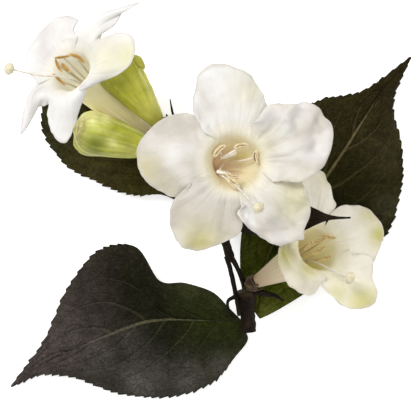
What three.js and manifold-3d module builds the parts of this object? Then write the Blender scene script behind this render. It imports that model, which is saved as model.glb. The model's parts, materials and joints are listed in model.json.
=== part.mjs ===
// A cut sprig of white weigela, laid down on a flat surface.
// A short stem with a square-cut end carries two pairs of toothed leaves, three
// open flowers of five petals and two closed buds. Millimetres, +Z up. The sprig
// lies on Z = 0 with the middle of its box on the Z axis.

import * as THREE from "three";
import { mergeGeometries, mergeVertices } from "three/addons/utils/BufferGeometryUtils.js";
import Module from "manifold-3d";

const wasm = await Module();
wasm.setup();

// ---- driving dimensions -------------------------------------------------------

const STEM_RADIUS = 1.15;
const UPPER_STEM_RADIUS = 0.95;
const STALK_RADIUS = 0.48;

const LEAF_THICKNESS = 0.66;
const TOOTH_DEPTH = 0.5;

// Shares named here run from a petal's foot to its tip, or from a tube's foot to its mouth.
const PETALS = 5;
const PETAL_WALL = 0.45;
const PETAL_COLUMNS = 6;
const PETAL_ROWS = 7;
const THROAT_ROWS = 8;
const ROWS_CROWD_TIP = 1.5;
const PETAL_TIP_ROUNDING = 0.12;
const WIDEST_AT = 0.45;
const RIB_HANDLE = 0.36;
const FLAT_FROM = 0.6;
const TURNED_FROM = 0.35;
const TUBE_HANDLE = 0.42;

const ANTHER_LENGTH = 3.9;
const ANTHER_RADIUS = 0.55;
const ANTHER_LEAN = 0.25;
const FILAMENT_RADIUS = 0.26;
const FILAMENT_ROOT = { along: 0.56, out: 0.28 };
const FILAMENT_KNEE = { along: 0.8, out: 0.44 };
const STYLE_RADIUS = 0.3;
const STYLE_ROOT = [0.2, 0.6];
const STIGMA_RADIUS = 1.25;
const STIGMA_FLATNESS = 0.8;

const CALYX_HEIGHT = 2.0;
const CALYX_GAP = 0.2;
const CALYX_OUTLINE = [[0, 0], [0.5, 0], [0.8, 0.35], [1, 0.8], [1, 1], [0, 1]];
const SEPALS = 5;
const SEPAL_ROOT = 0.5;
const SEPAL_LENGTH = 2.9;
const SEPAL_WIDTH = 1.0;
const SEPAL_THICKNESS = 0.4;
const SEPAL_TAPER = 0.9;

// Half-profile of a corolla: [radius, share of the tube's length from its foot]. The
// throat's radii are shares of the throat's radius, and the flare's of the limb's.
const TUBE_PROFILE = [[1.3, 0.0], [1.5, 0.25]];
const THROAT_PROFILE = [[0.45, 0.5], [0.7, 0.76], [0.96, 0.95]];
const FLARE_PROFILE = [[0.72, 1.05], [1.0, 1.1]];
const TUBE_FOOT_RADIUS = TUBE_PROFILE[0][0] + PETAL_WALL / 2;
const TUBE_FOOT_SPREAD = 0.6;

const COLOURS = {
  bark: 0x2c2018, leaf: 0x33321f, leafDark: 0x3a2e26, petal: 0xefece2, bud: 0xa9ad48,
  calyx: 0x4a3b2a, anther: 0xc98f45, style: 0xe2dcc0,
};

// ---- small helpers ------------------------------------------------------------

const vec = (x, y, z) => new THREE.Vector3(x, y, z);
const radians = THREE.MathUtils.degToRad;
const smooth = (x) => THREE.MathUtils.smoothstep(x, 0, 1);
const spline = (points) => new THREE.CatmullRomCurve3(points.map((p) => vec(...p)));

function finish(colour, roughness = 0.6) {
  return new THREE.MeshStandardMaterial({ color: colour, roughness, metalness: 0 });
}

// Keeps only positions and joins the vertices that coincide.
function weld(geometry) {
  const bare = geometry.clone();
  bare.deleteAttribute("normal");
  bare.deleteAttribute("uv");
  bare.clearGroups();
  return mergeVertices(bare, 1e-4);
}

function toSolid(geometry) {
  const welded = weld(geometry);
  return new wasm.Manifold(new wasm.Mesh({
    numProp: 3,
    vertProperties: new Float32Array(welded.attributes.position.array),
    triVerts: new Uint32Array(welded.index.array),
  }));
}

// Joins closed geometries into one body.
function fuse(geometries) {
  let solid = toSolid(geometries[0]);
  for (const geometry of geometries.slice(1)) {
    solid = solid.add(toSolid(geometry));
  }
  const mesh = solid.getMesh();
  const fused = new THREE.BufferGeometry();
  fused.setAttribute("position", new THREE.BufferAttribute(new Float32Array(mesh.vertProperties), 3));
  fused.setIndex(new THREE.BufferAttribute(new Uint32Array(mesh.triVerts), 1));
  return fused;
}

function moveVertices(geometry, rule) {
  const position = geometry.attributes.position;
  const point = vec(0, 0, 0);
  for (let i = 0; i < position.count; i += 1) {
    point.fromBufferAttribute(position, i);
    const moved = rule(point);
    position.setXYZ(i, moved.x, moved.y, moved.z);
  }
  return geometry;
}

// A closed round limb along a curve; radiusAt gives its radius from foot to tip.
function limb(curve, radiusAt, sides, steps) {
  const frames = curve.computeFrenetFrames(steps);
  const rod = new THREE.CylinderGeometry(1, 1, 1, sides, steps);
  return weld(moveVertices(rod, (p) => {
    const row = Math.round((p.y + 0.5) * steps);
    const radius = radiusAt(row / steps);
    return curve.getPointAt(row / steps)
      .addScaledVector(frames.normals[row], p.x * radius)
      .addScaledVector(frames.binormals[row], -p.z * radius);
  }));
}

// An ellipsoid: half-length along one direction, radius across it.
function bead(centre, direction, radius, halfLength, sides = 6, rings = 5) {
  const ball = new THREE.SphereGeometry(1, sides, rings);
  const turn = new THREE.Quaternion().setFromUnitVectors(vec(0, 1, 0), direction.clone().normalize());
  ball.scale(radius, halfLength, radius);
  ball.applyQuaternion(turn);
  ball.translate(centre.x, centre.y, centre.z);
  return weld(ball);
}

// ---- leaves -------------------------------------------------------------------

// A leaf is a thin blade between three lines that run from its foot to its tip:
// the midrib and the two margins. Teeth stand out along both margins.
const LEAVES = {
  leaf_lower_left: {
    rows: 36,
    columns: 6,
    colour: COLOURS.leaf,
    toothedFrom: 0.3,
    midrib: [
      [6.8, -24.6, 6.6], [4.0, -24.4, 6.0], [0.0, -24.2, 5.6], [-4.5, -24.0, 5.4], [-9.0, -23.9, 5.2],
      [-13.5, -24.7, 4.8], [-19.0, -26.8, 4.2], [-26.0, -29.7, 3.2], [-33.3, -33.1, 1.9],
      [-39.8, -37.7, 1.0],
    ],
    left: [
      [6.8, -25.2, 6.2], [8.1, -28.0, 3.9], [5.3, -31.9, 3.2], [1.5, -36.3, 2.2], [-5.2, -39.1, 1.1],
      [-12.5, -39.6, 0.34], [-19.5, -38.4, 0.6], [-27.0, -35.6, 1.0], [-34.0, -35.2, 1.2],
      [-39.8, -37.7, 1.0],
    ],
    right: [
      [6.8, -24.0, 6.8], [4.6, -22.0, 7.6], [1.0, -18.6, 9.0], [-4.5, -16.7, 9.2], [-9.6, -16.2, 5.4],
      [-14.6, -9.3, 4.6], [-21.5, -10.0, 4.0], [-28.0, -17.6, 3.0], [-33.0, -28.6, 1.6],
      [-39.8, -37.7, 1.0],
    ],
  },
  leaf_lower_right: {
    rows: 36,
    columns: 6,
    colour: COLOURS.leaf,
    toothedFrom: 0.35,
    midrib: [
      [10.2, -23.3, 6.6], [10.3, -20.6, 5.6], [10.9, -15.5, 5.0], [12.9, -9.5, 4.8], [17.0, -3.2, 4.5],
      [22.5, 2.9, 4.1], [27.3, 9.7, 3.6], [31.5, 16.3, 3.0], [35.6, 22.6, 2.6], [41.1, 29.1, 2.2],
    ],
    left: [
      [9.9, -22.7, 6.2], [7.6, -20.2, 4.5], [6.7, -14.5, 4.8], [6.9, -6.5, 5.2], [8.8, 0.5, 5.4],
      [12.0, 8.9, 5.2], [16.8, 16.4, 4.8], [22.8, 20.1, 4.4], [31.3, 21.9, 3.6], [41.1, 29.1, 2.2],
    ],
    right: [
      [10.5, -23.8, 6.2], [13.0, -22.7, 5.0], [18.0, -19.8, 4.2], [23.0, -16.6, 3.4], [29.5, -12.0, 2.6],
      [35.9, -6.9, 1.5], [38.8, 1.5, 0.6], [39.3, 9.6, 0.34], [37.4, 19.9, 1.0], [41.1, 29.1, 2.2],
    ],
  },
  leaf_upper_left: {
    rows: 28,
    columns: 4,
    colour: COLOURS.leaf,
    toothedFrom: 0.4,
    midrib: [
      [0.9, -3.9, 7.0], [-2.5, -0.5, 6.2], [-7.5, 3.8, 5.2], [-13.0, 7.6, 4.3], [-18.5, 10.6, 3.4],
      [-24.0, 13.8, 2.7], [-28.8, 17.6, 2.3], [-32.4, 22.8, 2.2],
    ],
    left: [
      [0.6, -4.6, 6.8], [-3.0, -2.0, 5.6], [-8.8, 1.1, 3.6], [-15.2, 1.3, 2.0], [-22.2, 3.9, 0.9],
      [-28.8, 7.6, 0.34], [-33.2, 14.6, 0.8], [-32.4, 22.8, 2.2],
    ],
    right: [
      [1.2, -3.3, 7.1], [0.3, 2.8, 6.4], [-3.2, 8.6, 5.6], [-8.8, 13.0, 5.0], [-14.5, 16.2, 4.4],
      [-21.0, 18.0, 3.6], [-27.4, 20.6, 2.8], [-32.4, 22.8, 2.2],
    ],
  },
  leaf_upper_right: {
    rows: 16,
    columns: 4,
    colour: COLOURS.leafDark,
    toothedFrom: 0.6,
    midrib: [
      [4.5, -4.9, 8.6], [9.0, -4.4, 15.6], [14.0, -4.1, 22.0], [19.0, -3.8, 26.0], [23.5, -3.6, 27.2],
      [28.5, -3.4, 27.0],
    ],
    left: [
      [4.6, -4.3, 8.8], [9.4, -1.6, 16.0], [14.4, -0.2, 22.4], [19.6, -0.9, 26.2], [24.6, -2.4, 27.2],
      [28.5, -3.4, 27.0],
    ],
    right: [
      [4.4, -5.5, 8.6], [8.4, -6.7, 15.8], [13.6, -7.4, 22.6], [18.6, -6.2, 26.0], [23.5, -4.7, 27.0],
      [28.5, -3.4, 27.0],
    ],
  },
};

function leafBlade(leaf) {
  const lines = { midrib: spline(leaf.midrib), left: spline(leaf.left), right: spline(leaf.right) };

  // side runs from -1 at the left margin to 1 at the right one, share from foot to tip.
  const surface = (side, share) => {
    const middle = lines.midrib.getPoint(share);
    const margin = (side < 0 ? lines.left : lines.right).getPoint(share);
    return middle.lerp(margin, Math.abs(side));
  };

  const blade = new THREE.BoxGeometry(2, 1, 1, leaf.columns, leaf.rows, 1);
  return weld(moveVertices(blade, (p) => {
    const row = Math.round((p.y + 0.5) * leaf.rows);
    const share = row / leaf.rows;
    const point = surface(p.x, share);
    const across = surface(p.x + 0.05, share).sub(surface(p.x - 0.05, share));
    if (Math.abs(p.x) > 0.99 && row % 2 === 1 && share > leaf.toothedFrom && row < leaf.rows) {
      point.addScaledVector(across.clone().normalize(), Math.sign(p.x) * TOOTH_DEPTH);
    }
    return point.add(vec(0, 0, p.z * LEAF_THICKNESS));
  }));
}

// ---- corollas -----------------------------------------------------------------

// Each flower is built in its own frame: the mouth of the tube at the origin, the
// axis along +Z. Petal tips and the foot of the tube are given in the sprig's frame.
// notches are the angles between the petals; a petal runs from one to the next.
// width is half the petal's width, tilt the angle of its tip from the axis, and
// blunt says how round its end is: 1 is a point, 1.12 a full round.
const FLOWERS = {
  flower_centre: {
    mouth: [5.3, 7.5, 29.4],
    faces: [0.04, 0.06, 1.0],
    foot: [1.9, 1.4, 11.6],
    throat: 5.1,
    limb: 11.6,
    notches: [-22, 62, 129, 209, 278],
    petals: [
      { tip: [24.8, 11.7, 31.0], width: 8.3, tilt: 98, cup: -0.04, twist: 0, blunt: 1.08 },
      { tip: [2.2, 27.8, 30.8], width: 7.2, tilt: 102, cup: -0.08, twist: 0, blunt: 1.06 },
      { tip: [-14.4, 8.6, 30.2], width: 8.2, tilt: 102, cup: -0.08, twist: 0, blunt: 1.06 },
      { tip: [-3.6, -10.0, 30.2], width: 7.1, tilt: 102, cup: -0.08, twist: 0, blunt: 1.06 },
      { tip: [16.7, -8.4, 30.4], width: 7.1, tilt: 100, cup: -0.04, twist: 0, blunt: 1.06 },
    ],
    anthers: [
      { turn: 12, radius: 4.2, height: 0.4 },
      { turn: 64, radius: 3.8, height: 0.2 },
      { turn: 129, radius: 3.8, height: 0.0 },
      { turn: 235, radius: 3.0, height: 0.8 },
      { turn: 270, radius: 4.1, height: 1.4 },
    ],
    style: [[6.2, 4.0, 30.6], [7.6, 1.2, 34.4], [10.1, -1.7, 36.2]],
  },
  flower_left: {
    mouth: [-27.1, 25.7, 21.6],
    faces: [-0.515, 0.38, 0.77],
    foot: [-11.6, 13.7, 10.9],
    throat: 3.9,
    limb: 6.8,
    notches: [-56, 26, 68, 190, 231],
    petals: [
      { tip: [-15.3, 32.5, 25.8], width: 4.6, tilt: 98, cup: -0.08, twist: 0, blunt: 1.06 },
      { tip: [-13.7, 39.3, 19.6], width: 2.1, tilt: 98, cup: -0.16, twist: 30, blunt: 1.02 },
      { tip: [-30.9, 36.5, 15.2], width: 6.1, tilt: 92, cup: 0, twist: 0, blunt: 1.07 },
      { tip: [-37.6, 13.2, 17.4], width: 2.3, tilt: 104, cup: -0.16, twist: -20, blunt: 1.02 },
      { tip: [-28.5, 11.3, 25.2], width: 3.8, tilt: 100, cup: -0.16, twist: 0, blunt: 1.04 },
    ],
    anthers: [
      { turn: 44, radius: 2.9, height: 1.6 },
      { turn: 105, radius: 2.7, height: 2.0 },
      { turn: 150, radius: 2.3, height: 1.6 },
      { turn: 229, radius: 2.8, height: 1.6 },
      { turn: 305, radius: 2.6, height: 0.6 },
    ],
    style: [[-28.6, 24.6, 23.6], [-33.6, 24.9, 26.2], [-39.4, 26.2, 27.6]],
  },
  flower_right: {
    mouth: [21.9, -9.7, 16.8],
    faces: [0.551, 0.33, 0.766],
    foot: [10.2, -16.0, 10.6],
    throat: 4.3,
    limb: 7.2,
    notches: [-3, 74, 130, 170, 269],
    petals: [
      { tip: [35.4, -7.6, 9.8], width: 6.7, tilt: 94, cup: 0, twist: 0, blunt: 1.06 },
      { tip: [23.8, 6.0, 11.0], width: 5.6, tilt: 94, cup: 0, twist: 0, blunt: 1.05 },
      { tip: [12.4, -4.0, 17.4], width: 4.2, tilt: 112, cup: -0.08, twist: 0, blunt: 1.05 },
      { tip: [17.6, -18.7, 18.4], width: 4.9, tilt: 118, cup: -0.08, twist: 0, blunt: 1.06 },
      { tip: [32.6, -20.9, 14.8], width: 6.8, tilt: 96, cup: 0, twist: 0, blunt: 1.06 },
    ],
    anthers: [
      { turn: 69, radius: 3.0, height: 1.6 },
      { turn: 127, radius: 3.0, height: 0.8 },
      { turn: 165, radius: 2.2, height: 1.4 },
      { turn: 235, radius: 2.6, height: 0.6 },
      { turn: 318, radius: 2.8, height: 0.4 },
    ],
    style: [[22.2, -12.2, 18.2], [25.6, -14.6, 20.6], [28.5, -15.6, 21.2]],
  },
};

// The flower's frame: +Z along its axis, +X as near the sprig's +X as that allows.
function flowerFrame(flower) {
  const axis = vec(...flower.faces).normalize();
  const right = vec(1, 0, 0).addScaledVector(axis, -axis.x).normalize();
  const up = axis.clone().cross(right);
  const frame = new THREE.Matrix4().makeBasis(right, up, axis);
  return frame.setPosition(vec(...flower.mouth));
}

// Middle line of the tube in the flower's frame, from its foot to the mouth.
function tubeLine(foot) {
  const length = foot.length();
  const upperHandle = vec(0, 0, -length * TUBE_HANDLE);
  const lowerHandle = foot.clone().lerp(upperHandle, 0.5);
  return new THREE.CubicBezierCurve3(foot, lowerHandle, upperHandle, vec(0, 0, 0));
}

// Half-profile of tube and flared limb: x is the radius, y the share of the tube's
// length from its foot, above 1 beyond the mouth.
function corollaProfile(flower) {
  const tube = TUBE_PROFILE.map(([radius, along]) => [radius, along]);
  const throat = THROAT_PROFILE.map(([radius, along]) => [radius * flower.throat, along]);
  const flare = FLARE_PROFILE.map(([radius, along]) => [radius * flower.limb, along]);
  const stations = [...tube, ...throat, ...flare].map(([x, y]) => new THREE.Vector2(x, y));
  return new THREE.SplineCurve(stations);
}

// A point of the tube or limb, at a share of the profile and an angle round the axis.
function tubePoint(profile, line, share, angle, offset) {
  const { x: radius, y: along } = profile.getPoint(share);
  const inTube = Math.min(Math.max(along, 0), 1);
  const axis = line.getTangentAt(inTube);
  const right = vec(1, 0, 0).addScaledVector(axis, -axis.x).normalize();
  const up = axis.clone().cross(right);
  return line.getPointAt(inTube)
    .addScaledVector(axis, (along - inTube) * line.getLength())
    .addScaledVector(right, Math.cos(angle) * (radius + offset))
    .addScaledVector(up, Math.sin(angle) * (radius + offset));
}

// Returns the petal's middle surface: side from -1 to 1, share from limb to tip.
// rim holds the limb's radius and height, and its slope as a unit vector.
function petalSurface(petal, tip, middle, half, rim) {
  const outward = vec(Math.cos(middle), Math.sin(middle), 0);
  const sideways = vec(-Math.sin(middle), Math.cos(middle), 0);
  const start = outward.clone().multiplyScalar(rim.radius).add(vec(0, 0, rim.height));
  const handle = start.distanceTo(tip) * RIB_HANDLE;
  const firstHandle = outward.clone().multiplyScalar(rim.out * handle).add(vec(0, 0, rim.up * handle));
  const tilt = radians(petal.tilt);
  const tipDirection = vec(tip.x - start.x, tip.y - start.y, 0).setLength(Math.sin(tilt));
  tipDirection.z = Math.cos(tilt);
  const rib = new THREE.CubicBezierCurve3(
    start, start.clone().add(firstHandle), tip.clone().addScaledVector(tipDirection, -handle), tip,
  );
  const footWidth = rim.radius * Math.sin(half);
  const halfWidth = (reach) => {
    if (reach < WIDEST_AT) {
      const grown = Math.sin((Math.PI / 2) * (reach / WIDEST_AT));
      return footWidth + (petal.width - footWidth) * grown;
    }
    const past = (reach - WIDEST_AT) / (petal.blunt - WIDEST_AT);
    return petal.width * Math.sqrt(1 - past * past);
  };
  return (side, row) => {
    const share = 1 - (1 - row) ** ROWS_CROWD_TIP;
    const reach = share * (1 - PETAL_TIP_ROUNDING * side * side * share);
    const tangent = rib.getTangent(reach);
    const across = sideways.clone().addScaledVector(tangent, -sideways.dot(tangent)).normalize();
    across.applyAxisAngle(tangent, radians(petal.twist) * smooth(share));
    const inner = tangent.clone().cross(across);
    const angle = side * half;
    const rolled = 1 - smooth(share / FLAT_FROM);
    const inward = outward.clone().negate().lerp(inner, smooth(share / TURNED_FROM));
    return rib.getPoint(reach)
      .addScaledVector(across, halfWidth(share) * Math.sin(angle) / Math.sin(half))
      .addScaledVector(inward, rim.radius * (1 - Math.cos(angle)) * rolled)
      .addScaledVector(inner, petal.cup * petal.width * side * side * smooth(share));
  };
}

// One wall, open at the foot and the mouth: five sectors of a tube that part into petals.
function corolla(flower, line) {
  const profile = corollaProfile(flower);
  const slope = profile.getTangent(1);
  slope.y *= line.getLength();
  slope.normalize();
  const rim = {
    radius: profile.getPoint(1).x,
    height: (profile.getPoint(1).y - 1) * line.getLength(),
    out: slope.x,
    up: slope.y,
  };
  const toLocal = flowerFrame(flower).invert();
  const rows = THROAT_ROWS + PETAL_ROWS;
  const sectors = flower.petals.map((petal, index) => {
    const from = flower.notches[index];
    const to = index + 1 < PETALS ? flower.notches[index + 1] : flower.notches[0] + 360;
    const middle = radians((from + to) / 2);
    const half = radians((to - from) / 2);
    const tip = vec(...petal.tip).applyMatrix4(toLocal);
    const surface = petalSurface(petal, tip, middle, half, rim);
    const sector = new THREE.BoxGeometry(2, 1, 1, PETAL_COLUMNS, rows, 1);
    dropSideFaces(sector, rows, THROAT_ROWS);
    return weld(moveVertices(sector, (p) => {
      const row = Math.round((p.y + 0.5) * rows);
      const angle = middle + p.x * half;
      const outside = p.z * PETAL_WALL;
      if (row < THROAT_ROWS) {
        return tubePoint(profile, line, row / THROAT_ROWS, angle, outside);
      }
      if (row === THROAT_ROWS) {
        return tubePoint(profile, line, 1, angle, outside * rim.up)
          .add(vec(0, 0, -outside * rim.out));
      }
      const share = (row - THROAT_ROWS) / PETAL_ROWS;
      const step = 0.02;
      const along = surface(p.x, Math.min(share + step, 1)).sub(surface(p.x, share - step));
      const across = surface(p.x + step, share).sub(surface(p.x - step, share));
      return surface(p.x, share).addScaledVector(across.cross(along).normalize(), outside);
    }));
  });
  return weld(mergeGeometries(sectors));
}

// Takes the two side walls off a box's lower rows, where neighbouring sectors join.
function dropSideFaces(box, rows, openRows) {
  const index = [];
  for (const group of box.groups) {
    for (let i = group.start; i < group.start + group.count; i += 3) {
      const corners = [0, 1, 2].map((k) => box.index.getX(i + k));
      const middle = corners.reduce((sum, c) => sum + box.attributes.position.getY(c), 0) / 3;
      const onSide = group.materialIndex < 2;
      if (!(onSide && (middle + 0.5) * rows < openRows)) {
        index.push(...corners);
      }
    }
  }
  box.setIndex(index);
  box.clearGroups();
}

// ---- what stands inside a flower ------------------------------------------------

// A filament that rises along the tube's wall and ends in a long anther.
function stamen(anther, line, throat) {
  const turn = radians(anther.turn);
  const out = vec(Math.cos(turn), Math.sin(turn), 0);
  const centre = out.clone().multiplyScalar(anther.radius).add(vec(0, 0, anther.height));
  const lean = out.clone().multiplyScalar(ANTHER_LEAN).add(vec(0, 0, 1)).normalize();
  const [root, knee] = [FILAMENT_ROOT, FILAMENT_KNEE].map(
    (station) => line.getPointAt(station.along).addScaledVector(out, throat * station.out),
  );
  const end = centre.clone().addScaledVector(lean, -ANTHER_LENGTH / 3);
  const filament = limb(new THREE.CatmullRomCurve3([root, knee, end]), () => FILAMENT_RADIUS, 5, 5);
  return fuse([filament, bead(centre, lean, ANTHER_RADIUS, ANTHER_LENGTH / 2)]);
}

// The long style, from low in the tube through the given points to its round stigma.
function style(points, line) {
  const inside = STYLE_ROOT.map((share) => line.getPointAt(share));
  const path = new THREE.CatmullRomCurve3([...inside, ...points]);
  const tip = path.getPointAt(1);
  const shaft = limb(path, () => STYLE_RADIUS, 5, 12);
  const height = STIGMA_RADIUS * STIGMA_FLATNESS;
  return fuse([shaft, bead(tip, path.getTangentAt(1), STIGMA_RADIUS, height, 10, 6)]);
}

// A cup under the foot of a corolla or bud, with pointed sepals that hug its sides.
// axis points into the corolla or bud, whose radius at its foot is bodyRadius;
// spread is what that radius gains over the length of a sepal.
function calyx(foot, axis, bodyRadius, spread) {
  const sepalRadius = bodyRadius + CALYX_GAP + SEPAL_THICKNESS / 2;
  const cupRadius = sepalRadius + SEPAL_THICKNESS / 2;
  const cup = new THREE.LatheGeometry(
    CALYX_OUTLINE.map(([r, h]) => new THREE.Vector2(r * cupRadius, h * CALYX_HEIGHT)), 10,
  );
  const sepals = Array.from({ length: SEPALS }, (unused, index) => {
    const azimuth = (index * 2 * Math.PI) / SEPALS;
    const sepal = new THREE.BoxGeometry(2, 1, 1, 1, 4, 1);
    return weld(moveVertices(sepal, (p) => {
      const share = p.y + 0.5;
      const half = (SEPAL_WIDTH / 2) * (1 - share * SEPAL_TAPER);
      const radius = sepalRadius + spread * share + p.z * SEPAL_THICKNESS;
      return vec(
        Math.cos(azimuth) * radius + Math.sin(azimuth) * p.x * half,
        CALYX_HEIGHT - SEPAL_ROOT + SEPAL_LENGTH * share,
        Math.sin(azimuth) * radius - Math.cos(azimuth) * p.x * half,
      );
    }));
  });
  const body = fuse([cup, ...sepals]);
  body.translate(0, -CALYX_HEIGHT - CALYX_GAP, 0);
  body.applyQuaternion(new THREE.Quaternion().setFromUnitVectors(vec(0, 1, 0), axis));
  body.translate(foot.x, foot.y, foot.z);
  return body;
}

// ---- buds ---------------------------------------------------------------------

const BUDS = {
  bud_upper: {
    foot: [-9.7, 15.5, 15.0],
    tip: [-18.3, 29.1, 21.2],
    stations: [[0, 0], [1.4, 0.02], [2.2, 0.12], [3.7, 0.35], [4.6, 0.6], [4.8, 0.78], [3.6, 0.93], [0, 1]],
    ridges: 0.08,
    footRadius: 1.7,
    footSpread: 1.3,
  },
  bud_lower: {
    foot: [-11.5, 10.5, 14.8],
    tip: [-26.7, 14.3, 19.2],
    stations: [[0, 0], [1.4, 0.02], [2.6, 0.15], [3.6, 0.38], [4.2, 0.62], [4.4, 0.78], [3.2, 0.93], [0, 1]],
    ridges: 0.05,
    footRadius: 1.7,
    footSpread: 1.3,
  },
};

function budBody(bud) {
  const foot = vec(...bud.foot);
  const axis = vec(...bud.tip).sub(foot);
  const length = axis.length();
  const outline = new THREE.SplineCurve(bud.stations.map(([r, a]) => new THREE.Vector2(r, a * length)));
  const points = outline.getPoints(13);
  points[0].x = 0;
  points[points.length - 1].x = 0;
  const body = new THREE.LatheGeometry(points, 18);
  moveVertices(body, (p) => {
    const azimuth = Math.atan2(p.z, p.x);
    const scale = 1 + bud.ridges * Math.cos(5 * azimuth + p.y * 0.12) * smooth(p.y / length);
    return vec(p.x * scale, p.y, p.z * scale);
  });
  body.applyQuaternion(new THREE.Quaternion().setFromUnitVectors(vec(0, 1, 0), axis.normalize()));
  body.translate(foot.x, foot.y, foot.z);
  return weld(body);
}

// ---- stems and bracts -----------------------------------------------------------

const STEMS = {
  stem_main: {
    path: [[8.7, -26.4, 6.2], [8.4, -22.4, 7.0], [7.9, -18.4, 7.9]],
    radii: [STEM_RADIUS, STEM_RADIUS * 1.12],
    sides: 12,
  },
  stem_upper: {
    path: [[4.6, -11.5, 8.9], [3.5, -8.0, 8.6], [2.8, -5.0, 8.2]],
    radii: [UPPER_STEM_RADIUS * 0.85, UPPER_STEM_RADIUS],
    sides: 10,
  },
  stem_branch: {
    path: [[2.5, -3.9, 8.3], [0.9, -0.8, 8.4], [-3.4, 6.6, 8.9], [-7.6, 12.4, 9.4]],
    radii: [UPPER_STEM_RADIUS, UPPER_STEM_RADIUS * 0.8],
    sides: 10,
  },
  stalk_left: {
    path: [[4.1, -12.5, 9.0], [5.1, -16.0, 8.8], [5.9, -20.0, 8.4], [6.5, -23.2, 8.2]],
    radii: [STALK_RADIUS, STALK_RADIUS],
    sides: 8,
  },
  stalk_right: {
    path: [[5.3, -12.5, 9.1], [6.6, -14.6, 9.2], [7.3, -16.9, 9.2]],
    radii: [STALK_RADIUS, STALK_RADIUS],
    sides: 8,
  },
  bract_left: {
    path: [[4.9, -19.4, 9.0], [3.7, -20.6, 9.0], [4.5, -22.8, 8.9]],
    radii: [0.3, 0.25],
    sides: 6,
  },
  bract_right: {
    path: [[11.4, -18.9, 9.2], [13.0, -19.0, 9.3], [15.4, -20.2, 8.4]],
    radii: [0.5, 0.2],
    sides: 6,
  },
  bract_upper: {
    path: [[-6.4, 16.4, 13.4], [-7.1, 18.0, 14.6], [-7.5, 20.3, 15.8]],
    radii: [0.35, 0.1],
    sides: 6,
  },
};

// ---- assembly -------------------------------------------------------------------

const sprig = new THREE.Group();

function addPart(group, name, geometry, colour, roughness) {
  const part = new THREE.Mesh(geometry, finish(colour, roughness));
  part.name = name;
  group.add(part);
}

for (const [name, stem] of Object.entries(STEMS)) {
  const [thick, thin] = stem.radii;
  const radiusAt = (share) => thick + (thin - thick) * share;
  addPart(sprig, name, limb(spline(stem.path), radiusAt, stem.sides, 8), COLOURS.bark, 0.45);
}

for (const [name, leaf] of Object.entries(LEAVES)) {
  addPart(sprig, name, leafBlade(leaf), leaf.colour, 0.5);
}

for (const [name, bud] of Object.entries(BUDS)) {
  addPart(sprig, name, budBody(bud), COLOURS.bud, 0.5);
  const foot = vec(...bud.foot);
  const axis = vec(...bud.tip).sub(foot).normalize();
  addPart(sprig, `${name}_calyx`, calyx(foot, axis, bud.footRadius, bud.footSpread), COLOURS.calyx);
}

for (const [name, flower] of Object.entries(FLOWERS)) {
  const frame = flowerFrame(flower);
  const toLocal = frame.clone().invert();
  const head = new THREE.Group();
  head.applyMatrix4(frame);
  const foot = vec(...flower.foot).applyMatrix4(toLocal);
  const line = tubeLine(foot);
  addPart(head, `${name}_corolla`, corolla(flower, line), COLOURS.petal, 0.65);
  const stylePoints = flower.style.map((p) => vec(...p).applyMatrix4(toLocal));
  addPart(head, `${name}_style`, style(stylePoints, line), COLOURS.style);
  flower.anthers.forEach((anther, index) => {
    addPart(head, `${name}_stamen_${index + 1}`, stamen(anther, line, flower.throat), COLOURS.anther);
  });
  const cup = calyx(foot, line.getTangentAt(0), TUBE_FOOT_RADIUS, TUBE_FOOT_SPREAD);
  addPart(head, `${name}_calyx`, cup, COLOURS.calyx);
  sprig.add(head);
}

const box = new THREE.Box3().setFromObject(sprig, true);
const middle = box.getCenter(vec(0, 0, 0));
sprig.position.set(-middle.x, -middle.y, -box.min.z);

export default sprig;
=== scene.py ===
# A cut sprig of white weigela, laid down: blooms, buds, toothed leaves and a short stem.
# The tables and the shaping rules are in millimetres, in the sprig's own frame. Each piece
# goes to metres and to the row's frame when its mesh is made.

import json
import math

import bmesh
import bpy
from mathutils import Matrix, Quaternion, Vector, noise


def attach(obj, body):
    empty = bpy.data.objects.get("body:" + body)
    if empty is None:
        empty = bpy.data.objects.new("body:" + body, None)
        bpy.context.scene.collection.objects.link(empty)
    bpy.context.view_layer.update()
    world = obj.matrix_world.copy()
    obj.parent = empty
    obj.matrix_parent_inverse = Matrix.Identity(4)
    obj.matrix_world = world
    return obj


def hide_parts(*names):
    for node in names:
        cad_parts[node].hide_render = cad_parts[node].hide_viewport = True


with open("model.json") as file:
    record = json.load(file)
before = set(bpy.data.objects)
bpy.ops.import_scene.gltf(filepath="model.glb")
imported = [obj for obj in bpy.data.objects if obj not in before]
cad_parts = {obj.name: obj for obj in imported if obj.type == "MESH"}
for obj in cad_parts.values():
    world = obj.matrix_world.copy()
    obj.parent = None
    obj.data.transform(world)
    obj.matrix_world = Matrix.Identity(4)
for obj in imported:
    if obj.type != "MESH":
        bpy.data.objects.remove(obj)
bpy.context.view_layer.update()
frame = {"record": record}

MM = 0.001
ACROSS = Vector((1, 0, 0))
UP = Vector((0, 0, 1))

# ---- sizes ----------------------------------------------------------------------

# leaves: the teeth lean forwards, and lie in the outer share of the blade
LEAF_SKIN = 0.36
LEAF_COLUMNS = 44
LEAF_ROWS = 210
TOOTH_PITCH = 1.5
TOOTH_DEPTH = 0.62
TOOTH_LEAN = 0.6
TOOTHED_RIM = 0.2

# the side veins sweep and bend towards the tip, and the blade stands in pillows between them
VEIN_PAIRS = 7.0
VEIN_SWEEP = 0.34
VEIN_BEND = 0.14
VEIN_STAGGER = 0.35
PILLOW_HEIGHT = 0.34
PILLOW_SINK = 0.12
BLADE_CROWN = 0.25
BLADE_WAVES = 0.3
MIDRIB_GROOVE = 0.2

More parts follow.
